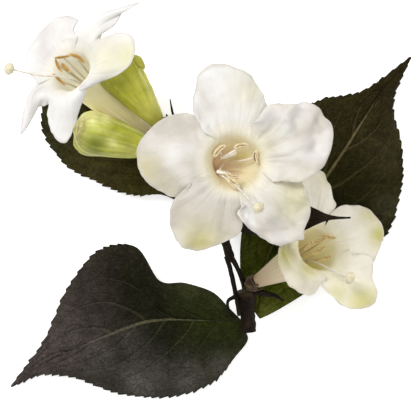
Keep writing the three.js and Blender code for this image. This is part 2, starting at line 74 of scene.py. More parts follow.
# corollas: half of a strip's rows make the tube, and the strips part near its end, where they
# overlap by some degrees
PETAL_SKIN = 0.24
PETAL_COLUMNS = 56
PETAL_ROWS = 90
TUBE_ROWS_SHARE = 0.5
FREE_FROM = 0.8
LAP_OVER = 7.0
LAP_UNDER = 4.0
TUBE_HANDLE = 0.42
FRILL_SIZE = 2.3
FACE_WAVES = ((0.7, 3.2, 9), (0.25, 1.5, 5))
EDGE_WANDER = 0.22
EDGE_WANDER_SIZE = 1.4
# the petals' painted shade lies in soft clouds of this size
SHADE_CLOUD_SIZE = 4.5

# stamens and styles: a filament starts at the tube's wall, given as shares of the tube's length
# and of its throat
FILAMENT_RADIUS = 0.19
FILAMENT_STARTS = ((0.56, 0.28), (0.8, 0.44))
SLIT_WIDTH = 0.12
STYLE_RADIUS = 0.2
STYLE_STARTS = (0.2, 0.6)
STIGMA_RADIUS = 1.25
STIGMA_GROOVE = 0.22

# calyxes, buds and shoots
CALYX_HEIGHT = 2.0
CALYX_DROP = 0.2
CALYX_SPREAD = 0.3
CALYX_PROFILE = [(0.5, 0.0), (0.82, 0.3), (1.0, 0.75), (0.98, 1.0)]
CALYX_WALL = 0.2
SEPALS = 5
SEPAL_HALF_WIDTH = 0.56
SEPAL_CLEARANCE = 0.38
BUD_SEPALS = 1.0
BUD_PETALS = 5
BUD_FOLDS = 11
BUD_COLUMNS = 72
BUD_ROWS = 48
FLAP_RADIUS = 0.85
SHOOT_RADIUS = 0.62

STEM_FOOT = Vector((8.7, -26.4, 6.2))
CUT_FACE = Vector(frame["record"]["mounts"][0]["pos_m"])
TO_ROW = Matrix.Translation(CUT_FACE - STEM_FOOT * MM) @ Matrix.Scale(MM, 4)

# ---- the sprig's parts ------------------------------------------------------------

# A leaf's midrib and its two margins run from foot to tip. A margin is toothed from a share of
# its length on. Two lists of soft-edged places, each (x, y, size, strength), give a greyish
# painted sheen that stands for a reflection, and an olive colour of the leaf's own.
LEAVES = {
    "leaf_lower_left": {
        "toothed_from": (0.2, 0.55),
        "painted_sheen_places": [
            (-13.0, -36.5, 5.5, 0.95), (-4.0, -36.5, 4.5, 0.85), (-22.5, -32.0, 5.0, 0.6),
            (2.5, -33.5, 3.0, 0.6), (-15.5, -29.0, 4.0, 0.4), (-27.0, -27.0, 4.0, 0.3),
        ],
        "olives": [(-3.5, -18.4, 2.6, 0.7), (2.5, -20.5, 2.0, 0.4)],
        "midrib": [
            (6.8, -24.6, 6.6), (4.0, -24.4, 6.0), (0.0, -24.2, 5.6), (-4.5, -24.0, 5.4),
            (-9.0, -23.9, 5.2), (-13.5, -24.7, 4.8), (-19.0, -26.8, 4.2), (-26.0, -29.7, 3.2),
            (-33.3, -33.1, 1.9), (-39.8, -37.7, 1.0),
        ],
        "left": [
            (6.8, -25.2, 6.2), (8.1, -28.0, 3.9), (5.3, -31.9, 3.2), (1.5, -36.3, 2.2),
            (-5.2, -39.1, 1.1), (-12.5, -39.6, 0.34), (-19.5, -38.4, 0.6), (-27.0, -35.6, 1.0),
            (-34.0, -35.2, 1.2), (-39.8, -37.7, 1.0),
        ],
        "right": [
            (6.8, -24.0, 6.8), (4.6, -22.0, 7.6), (1.0, -18.6, 9.0), (-4.5, -16.7, 9.2),
            (-9.6, -16.2, 5.4), (-14.6, -9.3, 4.6), (-21.5, -10.0, 4.0), (-28.0, -17.6, 3.0),
            (-33.0, -28.6, 1.6), (-39.8, -37.7, 1.0),
        ],
    },
    "leaf_lower_right": {
        "toothed_from": (0.5, 0.3),
        "painted_sheen_places": [(36.5, -1.0, 3.5, 0.7), (36.5, 10.0, 5.0, 0.4), (20.0, 12.0, 5.0, 0.2)],
        "olives": [(11.6, -21.6, 2.6, 0.9), (15.5, -19.8, 2.4, 0.5), (8.9, -10.2, 3.4, 0.35)],
        "midrib": [
            (10.2, -23.3, 6.6), (10.3, -20.6, 5.6), (10.9, -15.5, 5.0), (12.9, -9.5, 4.8),
            (17.0, -3.2, 4.5), (22.5, 2.9, 4.1), (27.3, 9.7, 3.6), (31.5, 16.3, 3.0),
            (35.6, 22.6, 2.6), (41.1, 29.1, 2.2),
        ],
        "left": [
            (9.9, -22.7, 6.2), (7.6, -20.2, 4.5), (6.7, -14.5, 4.8), (6.9, -6.5, 5.2),
            (8.8, 0.5, 5.4), (12.0, 8.9, 5.2), (16.8, 16.4, 4.8), (22.8, 20.1, 4.4),
            (31.3, 21.9, 3.6), (41.1, 29.1, 2.2),
        ],
        "right": [
            (10.5, -23.8, 6.2), (13.0, -22.7, 5.0), (18.0, -19.8, 4.2), (23.0, -16.6, 3.4),
            (29.5, -12.0, 2.6), (35.9, -6.9, 1.5), (38.8, 1.5, 0.6), (39.3, 9.6, 0.34),
            (37.4, 19.9, 1.0), (41.1, 29.1, 2.2),
        ],
    },
    "leaf_upper_left": {
        "toothed_from": (0.3, 0.6),
        "painted_sheen_places": [(-22.5, 6.5, 3.0, 0.15)],
        "olives": [(-15.5, 4.1, 3.0, 0.4)],
        "midrib": [
            (0.9, -3.9, 7.0), (-2.5, -0.5, 6.2), (-7.5, 3.8, 5.2), (-13.0, 7.6, 4.3),
            (-18.5, 10.6, 3.4), (-24.0, 13.8, 2.7), (-28.8, 17.6, 2.3), (-32.4, 22.8, 2.2),
        ],
        "left": [
            (0.6, -4.6, 6.8), (-3.0, -2.0, 5.6), (-8.8, 1.1, 3.6), (-15.2, 1.3, 2.0),
            (-22.2, 3.9, 0.9), (-28.8, 7.6, 0.34), (-33.2, 14.6, 0.8), (-32.4, 22.8, 2.2),
        ],
        "right": [
            (1.2, -3.3, 7.1), (0.3, 2.8, 6.4), (-3.2, 8.6, 5.6), (-8.8, 14.0, 5.0),
            (-14.5, 18.2, 4.4), (-21.0, 21.4, 3.6), (-27.4, 22.9, 2.8), (-32.4, 22.8, 2.2),
        ],
    },
    "leaf_upper_right": {
        "toothed_from": (0.97, 0.97),
        "painted_sheen_places": [(18.0, -2.5, 3.0, 0.5)],
        "olives": [(15.0, -6.0, 1.5, 0.3)],
        "midrib": [
            (4.5, -4.9, 8.6), (9.0, -4.4, 15.6), (14.0, -4.1, 22.0), (19.0, -3.8, 26.0),
            (23.5, -3.6, 27.2), (28.5, -3.4, 27.0),
        ],
        "left": [
            (4.6, -4.3, 8.8), (9.4, -1.6, 16.0), (14.4, -0.2, 22.4), (19.6, -0.9, 26.2),
            (24.6, -3.0, 27.2), (28.5, -3.4, 27.0),
        ],
        "right": [
            (4.4, -5.5, 8.6), (8.4, -6.7, 15.8), (13.6, -7.4, 22.6), (18.6, -6.2, 26.0),
            (23.8, -3.9, 27.0), (28.5, -3.4, 27.0),
        ],
    },
}

# A flower's tube runs from its foot to the middle of its mouth, bent sideways by sway, and the
# mouth faces along faces. Its profile is (radius, share of its length) from foot to limb, throat
# is how wide its mouth is, and notches are the angles between the petals at the limb.
# A petal's margin runs once round it, seen from above, in the sprig's frame. The other words on
# a petal say what its face does:
#   rise    how high the margin lies over the mouth's plane at its start, middle and end
#   tilt    the angle at which the face reaches its margin; 90 is flat, more is bent down
#   sweep   how strongly it leaves the limb, against 1
#   cup     how far its sides stand up, and bulge how far its middle does
#   frill   the ripple of the margin, waves the broad ripple and pleats the fine fanned lines
#   over    how far its two ends stand over the neighbours, and laps how many degrees they reach
#   tone    how much painted shade its colour takes
#   folds   its valleys, each (side, depth, width)
# An anther is given by its two ends, seen from above, by its height over the mouth, by how plump
# and bent it is and by the width of its slit. Its filament may pass a waist (x, y, height over the
# mouth) and be stout up to there. Sepals are as long as sepals says and cup names their finish.
# Each tint is a yellow-green place: (x, y, size, strength).
FLOWERS = {
    "flower_centre": {
        "finish": "petal_white",
        "anther": "anther_tan",
        "mouth": (5.3, 7.5, 29.4),
        "faces": (0.04, 0.06, 1.0),
        "foot": (1.9, 1.4, 11.6),
        "sway": (-5.6, 4.4, 0.0),
        "throat": 5.1,
        "tube": [(1.3, 0), (1.5, 0.25), (2.3, 0.5), (3.6, 0.76), (4.9, 0.95), (6.2, 1.03), (8.4, 1.05)],
        "notches": (-20, 57, 129, 209, 278),
        "petals": [
            {"margin": [
                (14.6, 4.1), (16.4, 3.6), (18.6, 3.7), (21.1, 5.2), (23.2, 7.1), (24.6, 10.4),
                (25.0, 12.8), (24.8, 15.0), (23.2, 16.9), (21.6, 18.8), (19.4, 19.7), (17.3, 19.1),
                (14.0, 19.3), (11.8, 18.8), (10.4, 16.4)],
             "rise": (1.2, 1.6, 1.4), "tilt": 96, "cup": 0.4, "frill": 0.8, "waves": 1.6,
             "pleats": 0.03, "over": (0.8, 0.8), "tone": 0.5,
             "folds": [(-0.5, 0.5, 0.12), (-0.15, -0.45, 0.1), (0.1, 0.5, 0.1), (0.62, 0.4, 0.1)]},
            {"margin": [
                (11.0, 16.8), (11.8, 18.6), (11.4, 20.2), (10.2, 22.6), (8.3, 25.0), (5.9, 26.5),
                (3.1, 27.2), (0.7, 27.0), (-1.8, 25.1), (-2.3, 22.6), (-2.9, 19.9), (-2.6, 17.0),
                (-1.4, 15.4)],
             "rise": (0.4, 1.4, 1.4), "tilt": 100, "cup": -0.3, "frill": 0.35, "waves": 0.6,
             "pleats": 0.02, "over": (0.0, 0.6), "tone": 0.15,
             "folds": [(0.5, 0.4, 0.14), (0.8, 0.4, 0.1)]},
            {"margin": [
                (-1.6, 15.6), (-2.6, 16.9), (-4.5, 17.4), (-7.2, 17.0), (-9.9, 15.5), (-12.4, 13.1),
                (-14.0, 10.4), (-14.0, 7.6), (-12.7, 4.4), (-10.5, 2.5), (-6.4, 0.6), (-3.6, 2.2)],
             "rise": (0.4, 0.4, 0.2), "tilt": 100, "cup": -0.4, "frill": 0.2, "waves": 0.5,
             "pleats": 0.04, "over": (0.0, 0.0), "tone": 1.0, "folds": [(-0.6, 0.4, 0.12)]},
            {"margin": [
                (-3.5, 2.7), (-6.2, 0.7), (-7.4, -1.9), (-7.5, -4.6), (-6.7, -7.0), (-5.1, -9.2),
                (-2.3, -10.0), (1.0, -9.2), (3.7, -8.1), (6.2, -6.6), (6.8, -4.6), (5.9, -2.9), (5.6, -1.7)],
             "rise": (1.0, 0.2, 0.2), "tilt": 98, "cup": -0.2, "frill": 0.25, "waves": 0.7,
             "pleats": 0.02, "over": (0.7, 0.0), "tone": 1.15,
             "folds": [(0.45, 0.35, 0.14), (-0.7, -0.3, 0.12)]},
            {"margin": [
                (7.5, -1.1), (6.4, -1.9), (5.9, -2.6), (7.2, -4.6), (8.6, -6.0), (10.7, -7.3), (13.7, -8.9),
                (16.4, -8.4), (17.8, -7.8), (19.1, -7.8), (18.9, -6.2), (20.0, -4.1), (20.3, -1.3),
                (19.7, 1.4), (18.4, 3.8), (15.8, 4.6)],
             "rise": (1.2, 0.7, 0.2), "tilt": 94, "cup": 0.2, "frill": 0.9, "waves": 1.4,
             "pleats": 0.03, "over": (0.5, 0.0), "laps": (0.0, 4.0), "tone": 0.65,
             "folds": [(-0.4, 0.5, 0.12), (0.1, -0.4, 0.16)]},
        ],
        "anthers": [
            {"ends": [(9.8, 10.0), (10.0, 7.3)], "height": 0.5, "plump": 0.45, "bend": 0.6, "slit": 0.24},
            {"ends": [(5.2, 10.4), (8.2, 10.9)], "height": 0.2, "plump": 0.5, "bend": -0.3, "slit": 0.17,
             "waist": (2.9, 8.5, -2.4), "stout": 2.0},
            {"ends": [(1.3, 8.6), (3.6, 11.0)], "height": 0.1, "plump": 0.6, "bend": -0.3, "slit": 0.17},
            {"ends": [(3.5, 5.4), (6.6, 4.7)], "height": 0.3, "plump": 0.42, "bend": 0.3,
             "waist": (2.1, 5.7, -0.5), "stout": 2.6},
            {"ends": [(3.7, 4.6), (6.4, 2.2)], "height": 1.0, "plump": 0.85, "bend": -0.1},
        ],
        "style": [(2.6, 5.2, 28.4), (4.9, 3.6, 30.4), (7.6, 0.9, 34.0), (10.1, -1.5, 36.1)],
        "sepals": 2.6,
        "cup": "calyx",
        "tints": [
            (-13.4, 6.0, 4.0, 0.6), (-10.5, 2.0, 4.5, 0.35), (-1.2, -8.8, 4.4, 0.85),
            (8.5, 22.0, 4.0, 0.35), (17.6, 0.2, 4.2, 0.6), (12.5, 11.5, 3.0, 0.25),
            (6.0, 8.5, 0.9, 0.8), (7.3, 8.9, 0.9, 0.9),
        ],
    },
    "flower_left": {
        "finish": "petal_left",
        "anther": "anther_brown",
        "mouth": (-27.1, 25.7, 21.6),
        "faces": (-0.515, 0.38, 0.77),
        "foot": (-11.6, 13.7, 10.9),
        "sway": (0.0, -2.0, 0.0),
        "throat": 4.0,
        "tube": [(1.3, 0), (2.0, 0.2), (2.8, 0.45), (3.4, 0.72), (4.0, 0.95), (4.9, 1.03), (6.5, 1.07)],
        "notches": (-56, 29, 75, 190, 231),
        "petals": [
            {"margin": [
                (-23.6, 22.1), (-22.5, 22.7), (-20.5, 23.8), (-17.7, 25.0), (-15.3, 27.0), (-14.5, 29.3),
                (-14.5, 31.9), (-15.7, 33.2), (-18.5, 33.0), (-20.7, 31.8)],
             "rise": (0.8, 0.0, 0.8), "tilt": 98, "cup": 0.2, "frill": 0.1, "waves": 0.2,
             "pleats": 0.02, "over": (0.3, 0.5), "tone": 0.5, "folds": []},
            {"margin": [
                (-21.7, 30.6), (-21.3, 32.5), (-20.7, 34.2), (-18.9, 34.7), (-17.7, 36.1), (-16.9, 37.8),
                (-13.4, 39.4), (-17.5, 38.5), (-21.3, 37.2), (-23.7, 35.2), (-25.2, 32.6)],
             "rise": (0.8, 0.3, 0.3), "tilt": 90, "sweep": 1.8, "cup": 0.0, "frill": 0.03,
             "waves": 0.1, "pleats": 0.01, "over": (0.05, 0.05), "laps": (2.0, 4.0), "tone": 0.25,
             "folds": []},
            {"margin": [
                (-25.9, 31.0), (-25.9, 32.9), (-26.3, 34.3), (-25.7, 35.9), (-27.3, 36.9), (-30.1, 36.7),
                (-31.9, 35.5), (-33.5, 33.8), (-34.6, 32.4), (-35.8, 30.1), (-36.0, 28.5), (-36.1, 27.0),
                (-35.6, 25.4), (-34.0, 24.0)],
             "rise": (0.6, 1.8, 0.6), "tilt": 88, "cup": 0.3, "frill": 0.3, "waves": 0.6,
             "pleats": 0.03, "over": (0.4, 0.4), "tone": 0.45, "folds": [(0.1, 0.3, 0.15)]},
            {"margin": [
                (-34.1, 23.6), (-35.7, 20.9), (-36.7, 18.1), (-37.3, 15.3), (-37.5, 13.1), (-35.7, 15.5),
                (-34.9, 17.1), (-34.5, 18.5), (-32.7, 18.9), (-31.1, 20.0)],
             "rise": (0.4, -1.4, 0.4), "tilt": 94, "cup": 0.2, "frill": 0.12, "waves": 0.2,
             "pleats": 0.04, "over": (0.0, 0.0), "tone": 0.15, "folds": [(0.0, 0.4, 0.35)]},
            {"margin": [
                (-31.1, 20.6), (-31.9, 17.1), (-31.5, 14.7), (-30.1, 12.4), (-28.4, 11.4), (-27.2, 12.8),
                (-26.4, 15.3), (-25.3, 18.7), (-24.6, 21.2)],
             "rise": (0.8, -1.8, 0.6), "tilt": 100, "cup": -0.4, "frill": 0.12, "waves": 0.2,
             "pleats": 0.03, "over": (0.5, 0.2), "tone": 0.15,
             "folds": [(0.0, -0.3, 0.25), (0.5, 0.3, 0.2)]},
        ],
        "anthers": [
            {"ends": [(-27.6, 29.2), (-24.4, 27.3)], "height": 1.4, "plump": 0.4, "bend": -0.4},
            {"ends": [(-30.6, 28.5), (-27.3, 28.9)], "height": 1.6, "plump": 0.28, "bend": 0.1},
            {"ends": [(-30.4, 28.4), (-29.0, 25.6)], "height": 1.4, "plump": 0.32, "bend": 0.2},
            {"ends": [(-30.9, 25.3), (-28.2, 22.8)], "height": 1.6, "plump": 0.32, "bend": 0.0},
            {"ends": [(-29.2, 27.4), (-27.4, 25.5)], "height": 1.0, "plump": 0.38, "bend": 0.0},
        ],
        "style": [(-28.6, 24.6, 23.6), (-33.6, 24.9, 26.2), (-39.4, 26.2, 27.6)],
        "sepals": 0.8,
        "cup": "calyx",
        "tints": [(-16.0, 28.6, 3.4, 0.8), (-19.5, 28.0, 4.0, 0.6), (-26.0, 14.0, 2.0, 0.3)],
    },
    "flower_right": {
        "finish": "petal_cream",
        "anther": "anther_gold",
        "mouth": (21.9, -9.7, 16.8),
        "faces": (0.551, 0.33, 0.766),
        "foot": (9.7, -16.4, 10.4),
        "sway": (0.0, 0.0, 0.0),
        "throat": 4.3,
        "tube": [(1.1, 0), (1.9, 0.2), (2.9, 0.45), (3.7, 0.72), (4.3, 0.94), (5.2, 1.03), (6.8, 1.08)],
        "notches": (-3, 74, 130, 170, 269),
        "petals": [
            {"margin": [
                (29.5, -12.6), (33.3, -12.4), (33.8, -11.2), (34.8, -9.1), (35.4, -6.9), (35.2, -5.1),
                (34.0, -3.1), (32.2, -1.5), (29.6, -1.0), (27.0, -1.0), (25.3, -2.1), (23.8, -3.6)],
             "rise": (-0.2, 2.6, 0.6), "tilt": 86, "cup": 0.2, "frill": 0.2, "waves": 0.35,
             "pleats": 0.06, "over": (0.0, 0.3), "laps": (4.0, -2.0), "tone": 0.1,
             "folds": [(0.1, 0.3, 0.2)]},
            {"margin": [
                (23.4, -3.4), (25.1, -2.2), (25.9, -0.5), (24.9, 1.3), (24.3, 3.3), (23.7, 5.2),
                (22.6, 6.1), (20.7, 5.2), (18.8, 3.6), (17.0, 1.0), (17.6, -2.4)],
             "rise": (0.2, 1.2, 0.2), "tilt": 94, "cup": 0.3, "frill": 0.35, "waves": 0.4,
             "pleats": 0.06, "over": (0.0, 0.0), "laps": (-2.0, 4.0), "tone": 0.15,
             "folds": [(0.0, 0.3, 0.2)]},
            {"margin": [
                (18.2, -3.0), (16.0, -1.8), (13.4, -3.2), (13.2, -5.4), (15.0, -7.0)],
             "rise": (0.2, -2.6, 0.2), "tilt": 116, "cup": -0.2, "bulge": 1.0, "frill": 0.15,
             "waves": 0.2, "pleats": 0.04, "over": (0.3, 0.0), "tone": 0.2, "folds": []},
            {"margin": [
                (15.9, -7.6), (14.6, -9.0), (14.2, -11.2), (14.6, -13.4), (15.1, -15.0), (16.1, -16.6),
                (18.1, -18.0), (20.0, -18.9), (21.6, -17.6), (22.4, -16.2)],
             "rise": (0.2, -4.6, 0.6), "tilt": 136, "cup": 0.0, "bulge": 1.5, "frill": 0.2,
             "waves": 0.4, "pleats": 0.04, "over": (0.0, 0.6), "tone": 0.6,
             "folds": [(0.35, 0.4, 0.15), (-0.2, -0.3, 0.2)]},
            {"margin": [
                (22.6, -16.7), (24.0, -18.2), (25.8, -20.2), (28.8, -21.7), (31.6, -21.6), (33.5, -20.5),
                (34.0, -18.3), (33.2, -15.9), (33.2, -13.5), (32.6, -11.8), (31.4, -11.0), (30.0, -10.9),
                (28.4, -11.4)],
             "rise": (0.2, 0.8, 1.6), "tilt": 96, "cup": 0.2, "frill": 0.3, "waves": 0.4,
             "pleats": 0.06, "over": (0.0, 0.8), "tone": 0.12, "folds": [(-0.1, 0.3, 0.2)]},
        ],
        "anthers": [
            {"ends": [(22.6, -6.8), (25.9, -7.5)], "height": 1.4, "plump": 0.36, "bend": 0.2},
            {"ends": [(20.6, -8.7), (23.7, -7.5)], "height": 0.8, "plump": 0.36, "bend": 0.1},
            {"ends": [(19.2, -9.9), (21.1, -8.0)], "height": 1.0, "plump": 0.32, "bend": 0.1},
            {"ends": [(20.7, -10.8), (23.7, -9.1)], "height": 0.6, "plump": 0.36, "bend": 0.1},
            {"ends": [(22.4, -11.9), (24.8, -11.2)], "height": -0.6, "plump": 0.3, "bend": 0.0},
        ],
        "style": [(22.2, -12.6, 18.2), (25.6, -14.4, 20.0), (28.5, -15.5, 20.4)],
        "sepals": 1.4,
        "cup": "calyx_grey",
        "tints": [
            (35.0, -7.0, 2.6, 1.0), (33.0, -2.5, 2.6, 0.6), (31.0, -20.4, 3.4, 0.8),
            (26.0, -18.6, 2.6, 0.5), (24.0, 5.0, 2.4, 0.3), (15.4, -10.8, 2.6, 0.8),
            (20.0, -13.4, 2.4, 0.7),
        ],
    },
}

# A bud's stations are (radius, share of its length) from foot to tip. Its flap is the free edge
# of a petal at its side. Soft-edged places, each (x, y, size, strength), take painted highlights,
# partly over pale patches of the bud's own, and the darks are darker places, partly the bud's
# own deeper green and partly painted shade, as at its foot.
BUDS = {
    "bud_upper": {
        "foot": (-9.7, 15.5, 15.0),
        "tip": (-19.9, 28.4, 21.2),
        "stations": [
            (0, 0), (1.3, 0.02), (1.9, 0.12), (3.0, 0.35), (3.9, 0.6), (4.4, 0.8), (3.4, 0.94), (0, 1),
        ],
        "flap": [(-15.2, 28.9, 20.9), (-13.9, 28.0, 21.4), (-12.6, 26.3, 20.9)],
        "ridges": 0.08,
        "foot_radius": 1.7,
        "lights": [(-11.0, 18.4, 3.2, 0.75), (-13.2, 23.5, 2.2, 0.4)],
        "darks": [(-10.0, 16.0, 2.4, 0.6), (-17.5, 22.5, 3.0, 0.25)],
    },
    "bud_lower": {
        "foot": (-11.5, 10.5, 14.8),
        "tip": (-26.7, 14.3, 19.2),
        "stations": [
            (0, 0), (1.4, 0.02), (2.6, 0.15), (3.5, 0.38), (4.1, 0.62), (4.2, 0.78), (3.1, 0.93), (0, 1),
        ],
        "flap": None,
        "ridges": 0.07,
        "foot_radius": 1.7,
        "lights": [
            (-23.2, 17.6, 2.4, 1.0), (-20.4, 16.9, 1.5, 0.8), (-19.0, 11.6, 1.0, 0.4),
            (-25.6, 14.6, 1.4, 0.4),
        ],
        "darks": [(-18.6, 14.4, 1.3, 0.35), (-22.4, 11.2, 2.4, 0.9), (-16.5, 12.4, 2.0, 0.2)],
    },
}

# A stem's radii are at the start and the end of its path, and each swell is a thickening of it:
# (place, size, amount). What it bears sits on a short stalk that leaves it at a share of its
# length, and shoots are further short stalks or petioles that belong to it.
STEMS = {
    "stem_main": {
        "path": [(8.35, -26.4, 6.2), (8.05, -22.4, 7.0), (7.8, -18.2, 7.9)],
        "radii": (1.42, 1.6),
        "swell": [(1.0, 0.16, 0.3), (0.12, 0.1, 0.08)],
    },
    "stem_upper": {
        "path": [(4.6, -11.5, 8.9), (3.5, -8.0, 8.6), (2.8, -5.0, 8.2)],
        "radii": (0.82, 0.95),
        "swell": [(0.0, 0.25, 0.15), (1.0, 0.2, 0.2)],
        "shoots": [[(3.0, -5.6, 8.2), (4.0, -5.2, 8.3), (5.2, -4.8, 9.6)]],
    },
    "stem_branch": {
        "path": [(2.8, -4.9, 8.2), (0.9, -0.8, 8.4), (-3.4, 6.6, 8.9), (-7.6, 12.4, 9.4)],
        "radii": (0.95, 0.76),
        "swell": [(1.0, 0.1, 0.25)],
        "bears": {"flower_centre": 0.26, "flower_left": 0.98, "bud_upper": 0.97, "bud_lower": 0.88},
        "shoots": [[(2.6, -4.4, 8.2), (1.4, -4.1, 7.3), (0.2, -3.3, 6.8)]],
    },
    "stalk_left": {
        "path": [(3.9, -11.2, 9.0), (5.1, -16.0, 8.8), (5.9, -20.0, 8.4), (6.5, -23.2, 8.2)],
        "radii": (0.48, 0.48),
        "swell": [(0.0, 0.12, 0.25)],
    },
    "stalk_right": {
        "path": [(4.7, -11.2, 9.1), (6.5, -14.6, 9.2), (7.4, -17.4, 9.0)],
        "radii": (0.48, 0.48),
        "swell": [(0.0, 0.2, 0.2)],
    },
    "bract_left": {
        "path": [(5.6, -19.3, 9.0), (4.1, -20.3, 9.0), (4.5, -22.6, 8.7), (5.4, -24.0, 8.0)],
        "radii": (0.34, 0.24),
        "swell": [(0.0, 0.2, 0.35)],
    },
    "bract_right": {
        "path": [(9.6, -18.2, 9.0), (11.4, -18.7, 9.3), (13.4, -19.1, 9.2), (15.4, -20.2, 8.4)],
        "radii": (0.8, 0.2),
        "swell": [],
    },
    "bract_upper": {
        "path": [(-7.7, 13.2, 13.4), (-6.6, 15.6, 13.3), (-7.1, 18.0, 14.6), (-7.5, 20.3, 15.8)],
        "radii": (0.5, 0.1),
        "swell": [],
    },
}

# ---- lines and small rules ----------------------------------------------------------


def smooth(x):
    """An even step: 0 up to 0, 1 from 1 on."""
    x = min(max(x, 0.0), 1.0)
    return x * x * (3.0 - 2.0 * x)


def unit(vector, otherwise):
    """The vector at a length of one, or otherwise where it has no direction."""
    return vector.normalized() if vector.length > 1e-6 else otherwise


def sides_of(axis):
    """Two directions square to an axis and to each other, the first as near +X as can be."""
    right = (ACROSS - axis * axis.x).normalized()
    return right, axis.cross(right)


def hermite(start, end, leave, arrive, t):
    """A cubic line from start to end that leaves and arrives in the given directions."""
    bend = end * 3.0 - start * 3.0 - leave * 2.0 - arrive
    turn = start * 2.0 - end * 2.0 + leave + arrive
    return start + leave * t + bend * (t * t) + turn * (t * t * t)


def through(knots, directions):
    """A smooth line through all knots but the first and last; the rule takes 0 to 1."""
    spans = len(knots) - 3

    def at(share):
        place = min(max(share, 0.0), 1.0) * spans
        k = min(int(place), spans - 1)
        leave, arrive = directions(*knots[k:k + 4])
        return hermite(knots[k + 1], knots[k + 2], leave, arrive, place - k)

    return at


def spline(points):
    """A smooth line through points that doesn't overshoot where they lie close."""
    knots = [Vector(p) for p in points]

    def directions(p0, p1, p2, p3):
        d0, d1, d2 = (max((b - a).length, 1e-4) ** 0.5 for a, b in ((p0, p1), (p1, p2), (p2, p3)))
        leave = ((p1 - p0) / d0 - (p2 - p0) / (d0 + d1) + (p2 - p1) / d1) * d1
        arrive = ((p2 - p1) / d1 - (p3 - p1) / (d1 + d2) + (p3 - p2) / d2) * d1
        return leave, arrive

    return through([knots[0] * 2.0 - knots[1], *knots, knots[-1] * 2.0 - knots[-2]], directions)


def outline(stations):
    """A smooth half-profile through its stations."""
    knots = [Vector(s) for s in stations]
    return through([knots[0], *knots, knots[-1]],
                   lambda p0, p1, p2, p3: ((p2 - p0) / 2.0, (p3 - p1) / 2.0))


def by_length(curve, steps=120):
    """Turns a rule into one that runs evenly by length; also gives the whole length."""
    points = [curve(k / steps) for k in range(steps + 1)]
    reached = [0.0]
    for a, b in zip(points, points[1:]):
        reached.append(reached[-1] + (b - a).length)
    whole = reached[-1]

    def at(share):
        goal = min(max(share, 0.0), 1.0) * whole
        low, high = 0, steps
        while high - low > 1:
            middle = (low + high) // 2
            low, high = (middle, high) if reached[middle] <= goal else (low, middle)
        part = (goal - reached[low]) / max(reached[high] - reached[low], 1e-9)
        return points[low].lerp(points[high], part)

    return at, whole


def heading(curve, share, step=0.01):
    """The direction in which a line runs at a share of its length."""
    return (curve(min(share + step, 1.0)) - curve(max(share - step, 0.0))).normalized()


def ripple(x, y, z, size, seed=0.0):
    """Soft noise from -1 to 1 with lumps of the given size in millimetres."""
    return noise.noise(Vector((x / size + seed * 7.3, y / size - seed * 3.1, z / size + seed)))


def spots(here, places):
    """How strongly soft-edged places (x, y, size, strength) colour a point under or over them."""
    return max(
        strength * math.exp(-((here.x - x) ** 2 + (here.y - y) ** 2) / (size * size))
        for x, y, size, strength in places
    )


# ---- making pieces --------------------------------------------------------------------


def new_mesh():
    """An empty mesh with a UV map and two masks: tint, mostly other colours, and tone, mostly painted shade,
    sheen and highlights.
    """
    bm = bmesh.new()
    bm.loops.layers.uv.new("UVMap")
    bm.verts.layers.float.new("tint")
    bm.verts.layers.float.new("tone")
    return bm


def patch(bm, columns, rows, rule):
    """A grid moved by rule(side from -1 to 1, share from 0 to 1)."""
    tint = bm.verts.layers.float["tint"]
    tone = bm.verts.layers.float["tone"]
    grid = bmesh.ops.create_grid(bm, x_segments=columns, y_segments=rows, size=1.0, calc_uvs=True)
    for vert in grid["verts"]:
        vert.co, vert[tint], vert[tone] = rule(vert.co.x, (vert.co.y + 1.0) / 2.0)
    return grid["verts"]


def rod(bm, path, radius_at, sides=14, steps=30, lumps=0.0, flatten=1.0, facing=UP,
        tint_at=lambda share: 0.0, tone=0.0):
    """A closed round limb along a line; the first and last rows close its ends."""
    rows = steps + 2
    frames = []
    for row in range(steps + 1):
        share = row / steps
        along = heading(path, share)
        across = unit(along.cross(facing), ACROSS)
        frames.append((path(share), across, across.cross(along)))

    def rule(side, share):
        row = round(share * rows)
        level = min(max(row - 1, 0), steps)
        centre, across, up = frames[level]
        radius = 0.0 if row in (0, rows) else radius_at(level / steps)
        angle = side * math.pi
        out = across * math.cos(angle) + up * (math.sin(angle) * flatten)
        radius *= 1.0 + lumps * ripple(*(centre + out * radius), 0.9)
        return centre + out * radius, tint_at(level / steps), tone

    verts = patch(bm, sides, rows, rule)
    bmesh.ops.remove_doubles(bm, verts=verts, dist=1e-4)


def deal(bm, name, finishes, skin=0.0, skin_finish=0, sharp=math.radians(50)):
    """Turns a finished shape into a piece that stands for the node of the same name."""
    bmesh.ops.transform(bm, matrix=TO_ROW, verts=bm.verts)
    for face in bm.faces:
        face.smooth = True
    for edge in bm.edges:
        if len(edge.link_faces) == 2 and edge.calc_face_angle(0.0) > sharp:
            edge.smooth = False
    mesh = bpy.data.meshes.new(name)
    bm.to_mesh(mesh)
    bm.free()
    piece = bpy.data.objects.new(f"{name}_look", mesh)
    bpy.context.scene.collection.objects.link(piece)
    for finish in finishes:
        mesh.materials.append(FINISHES[finish])
    if skin:
        shell = piece.modifiers.new("skin", "SOLIDIFY")
        shell.thickness = skin * MM
        shell.offset = 0.0
        shell.material_offset = skin_finish
    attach(piece, "root")
    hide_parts(name)


# ---- finishes ---------------------------------------------------------------------------
# A colour is (red, green, blue) from 0 to 255, and a ramp's stop is (place, red, green, blue).

BLACK = (0, 0, 0)
SPECKLE_BROWN = (150, 104, 64)
FINISHES = {}


def as_light(colour):
    """A screen colour as the light it stands for; a socket stays as it is."""
    if isinstance(colour, bpy.types.NodeSocket):
        return colour
    steps = (value / 255.0 for value in colour)
    return (*(s / 12.92 if s < 0.04045 else ((s + 0.055) / 1.055) ** 2.4 for s in steps), 1.0)


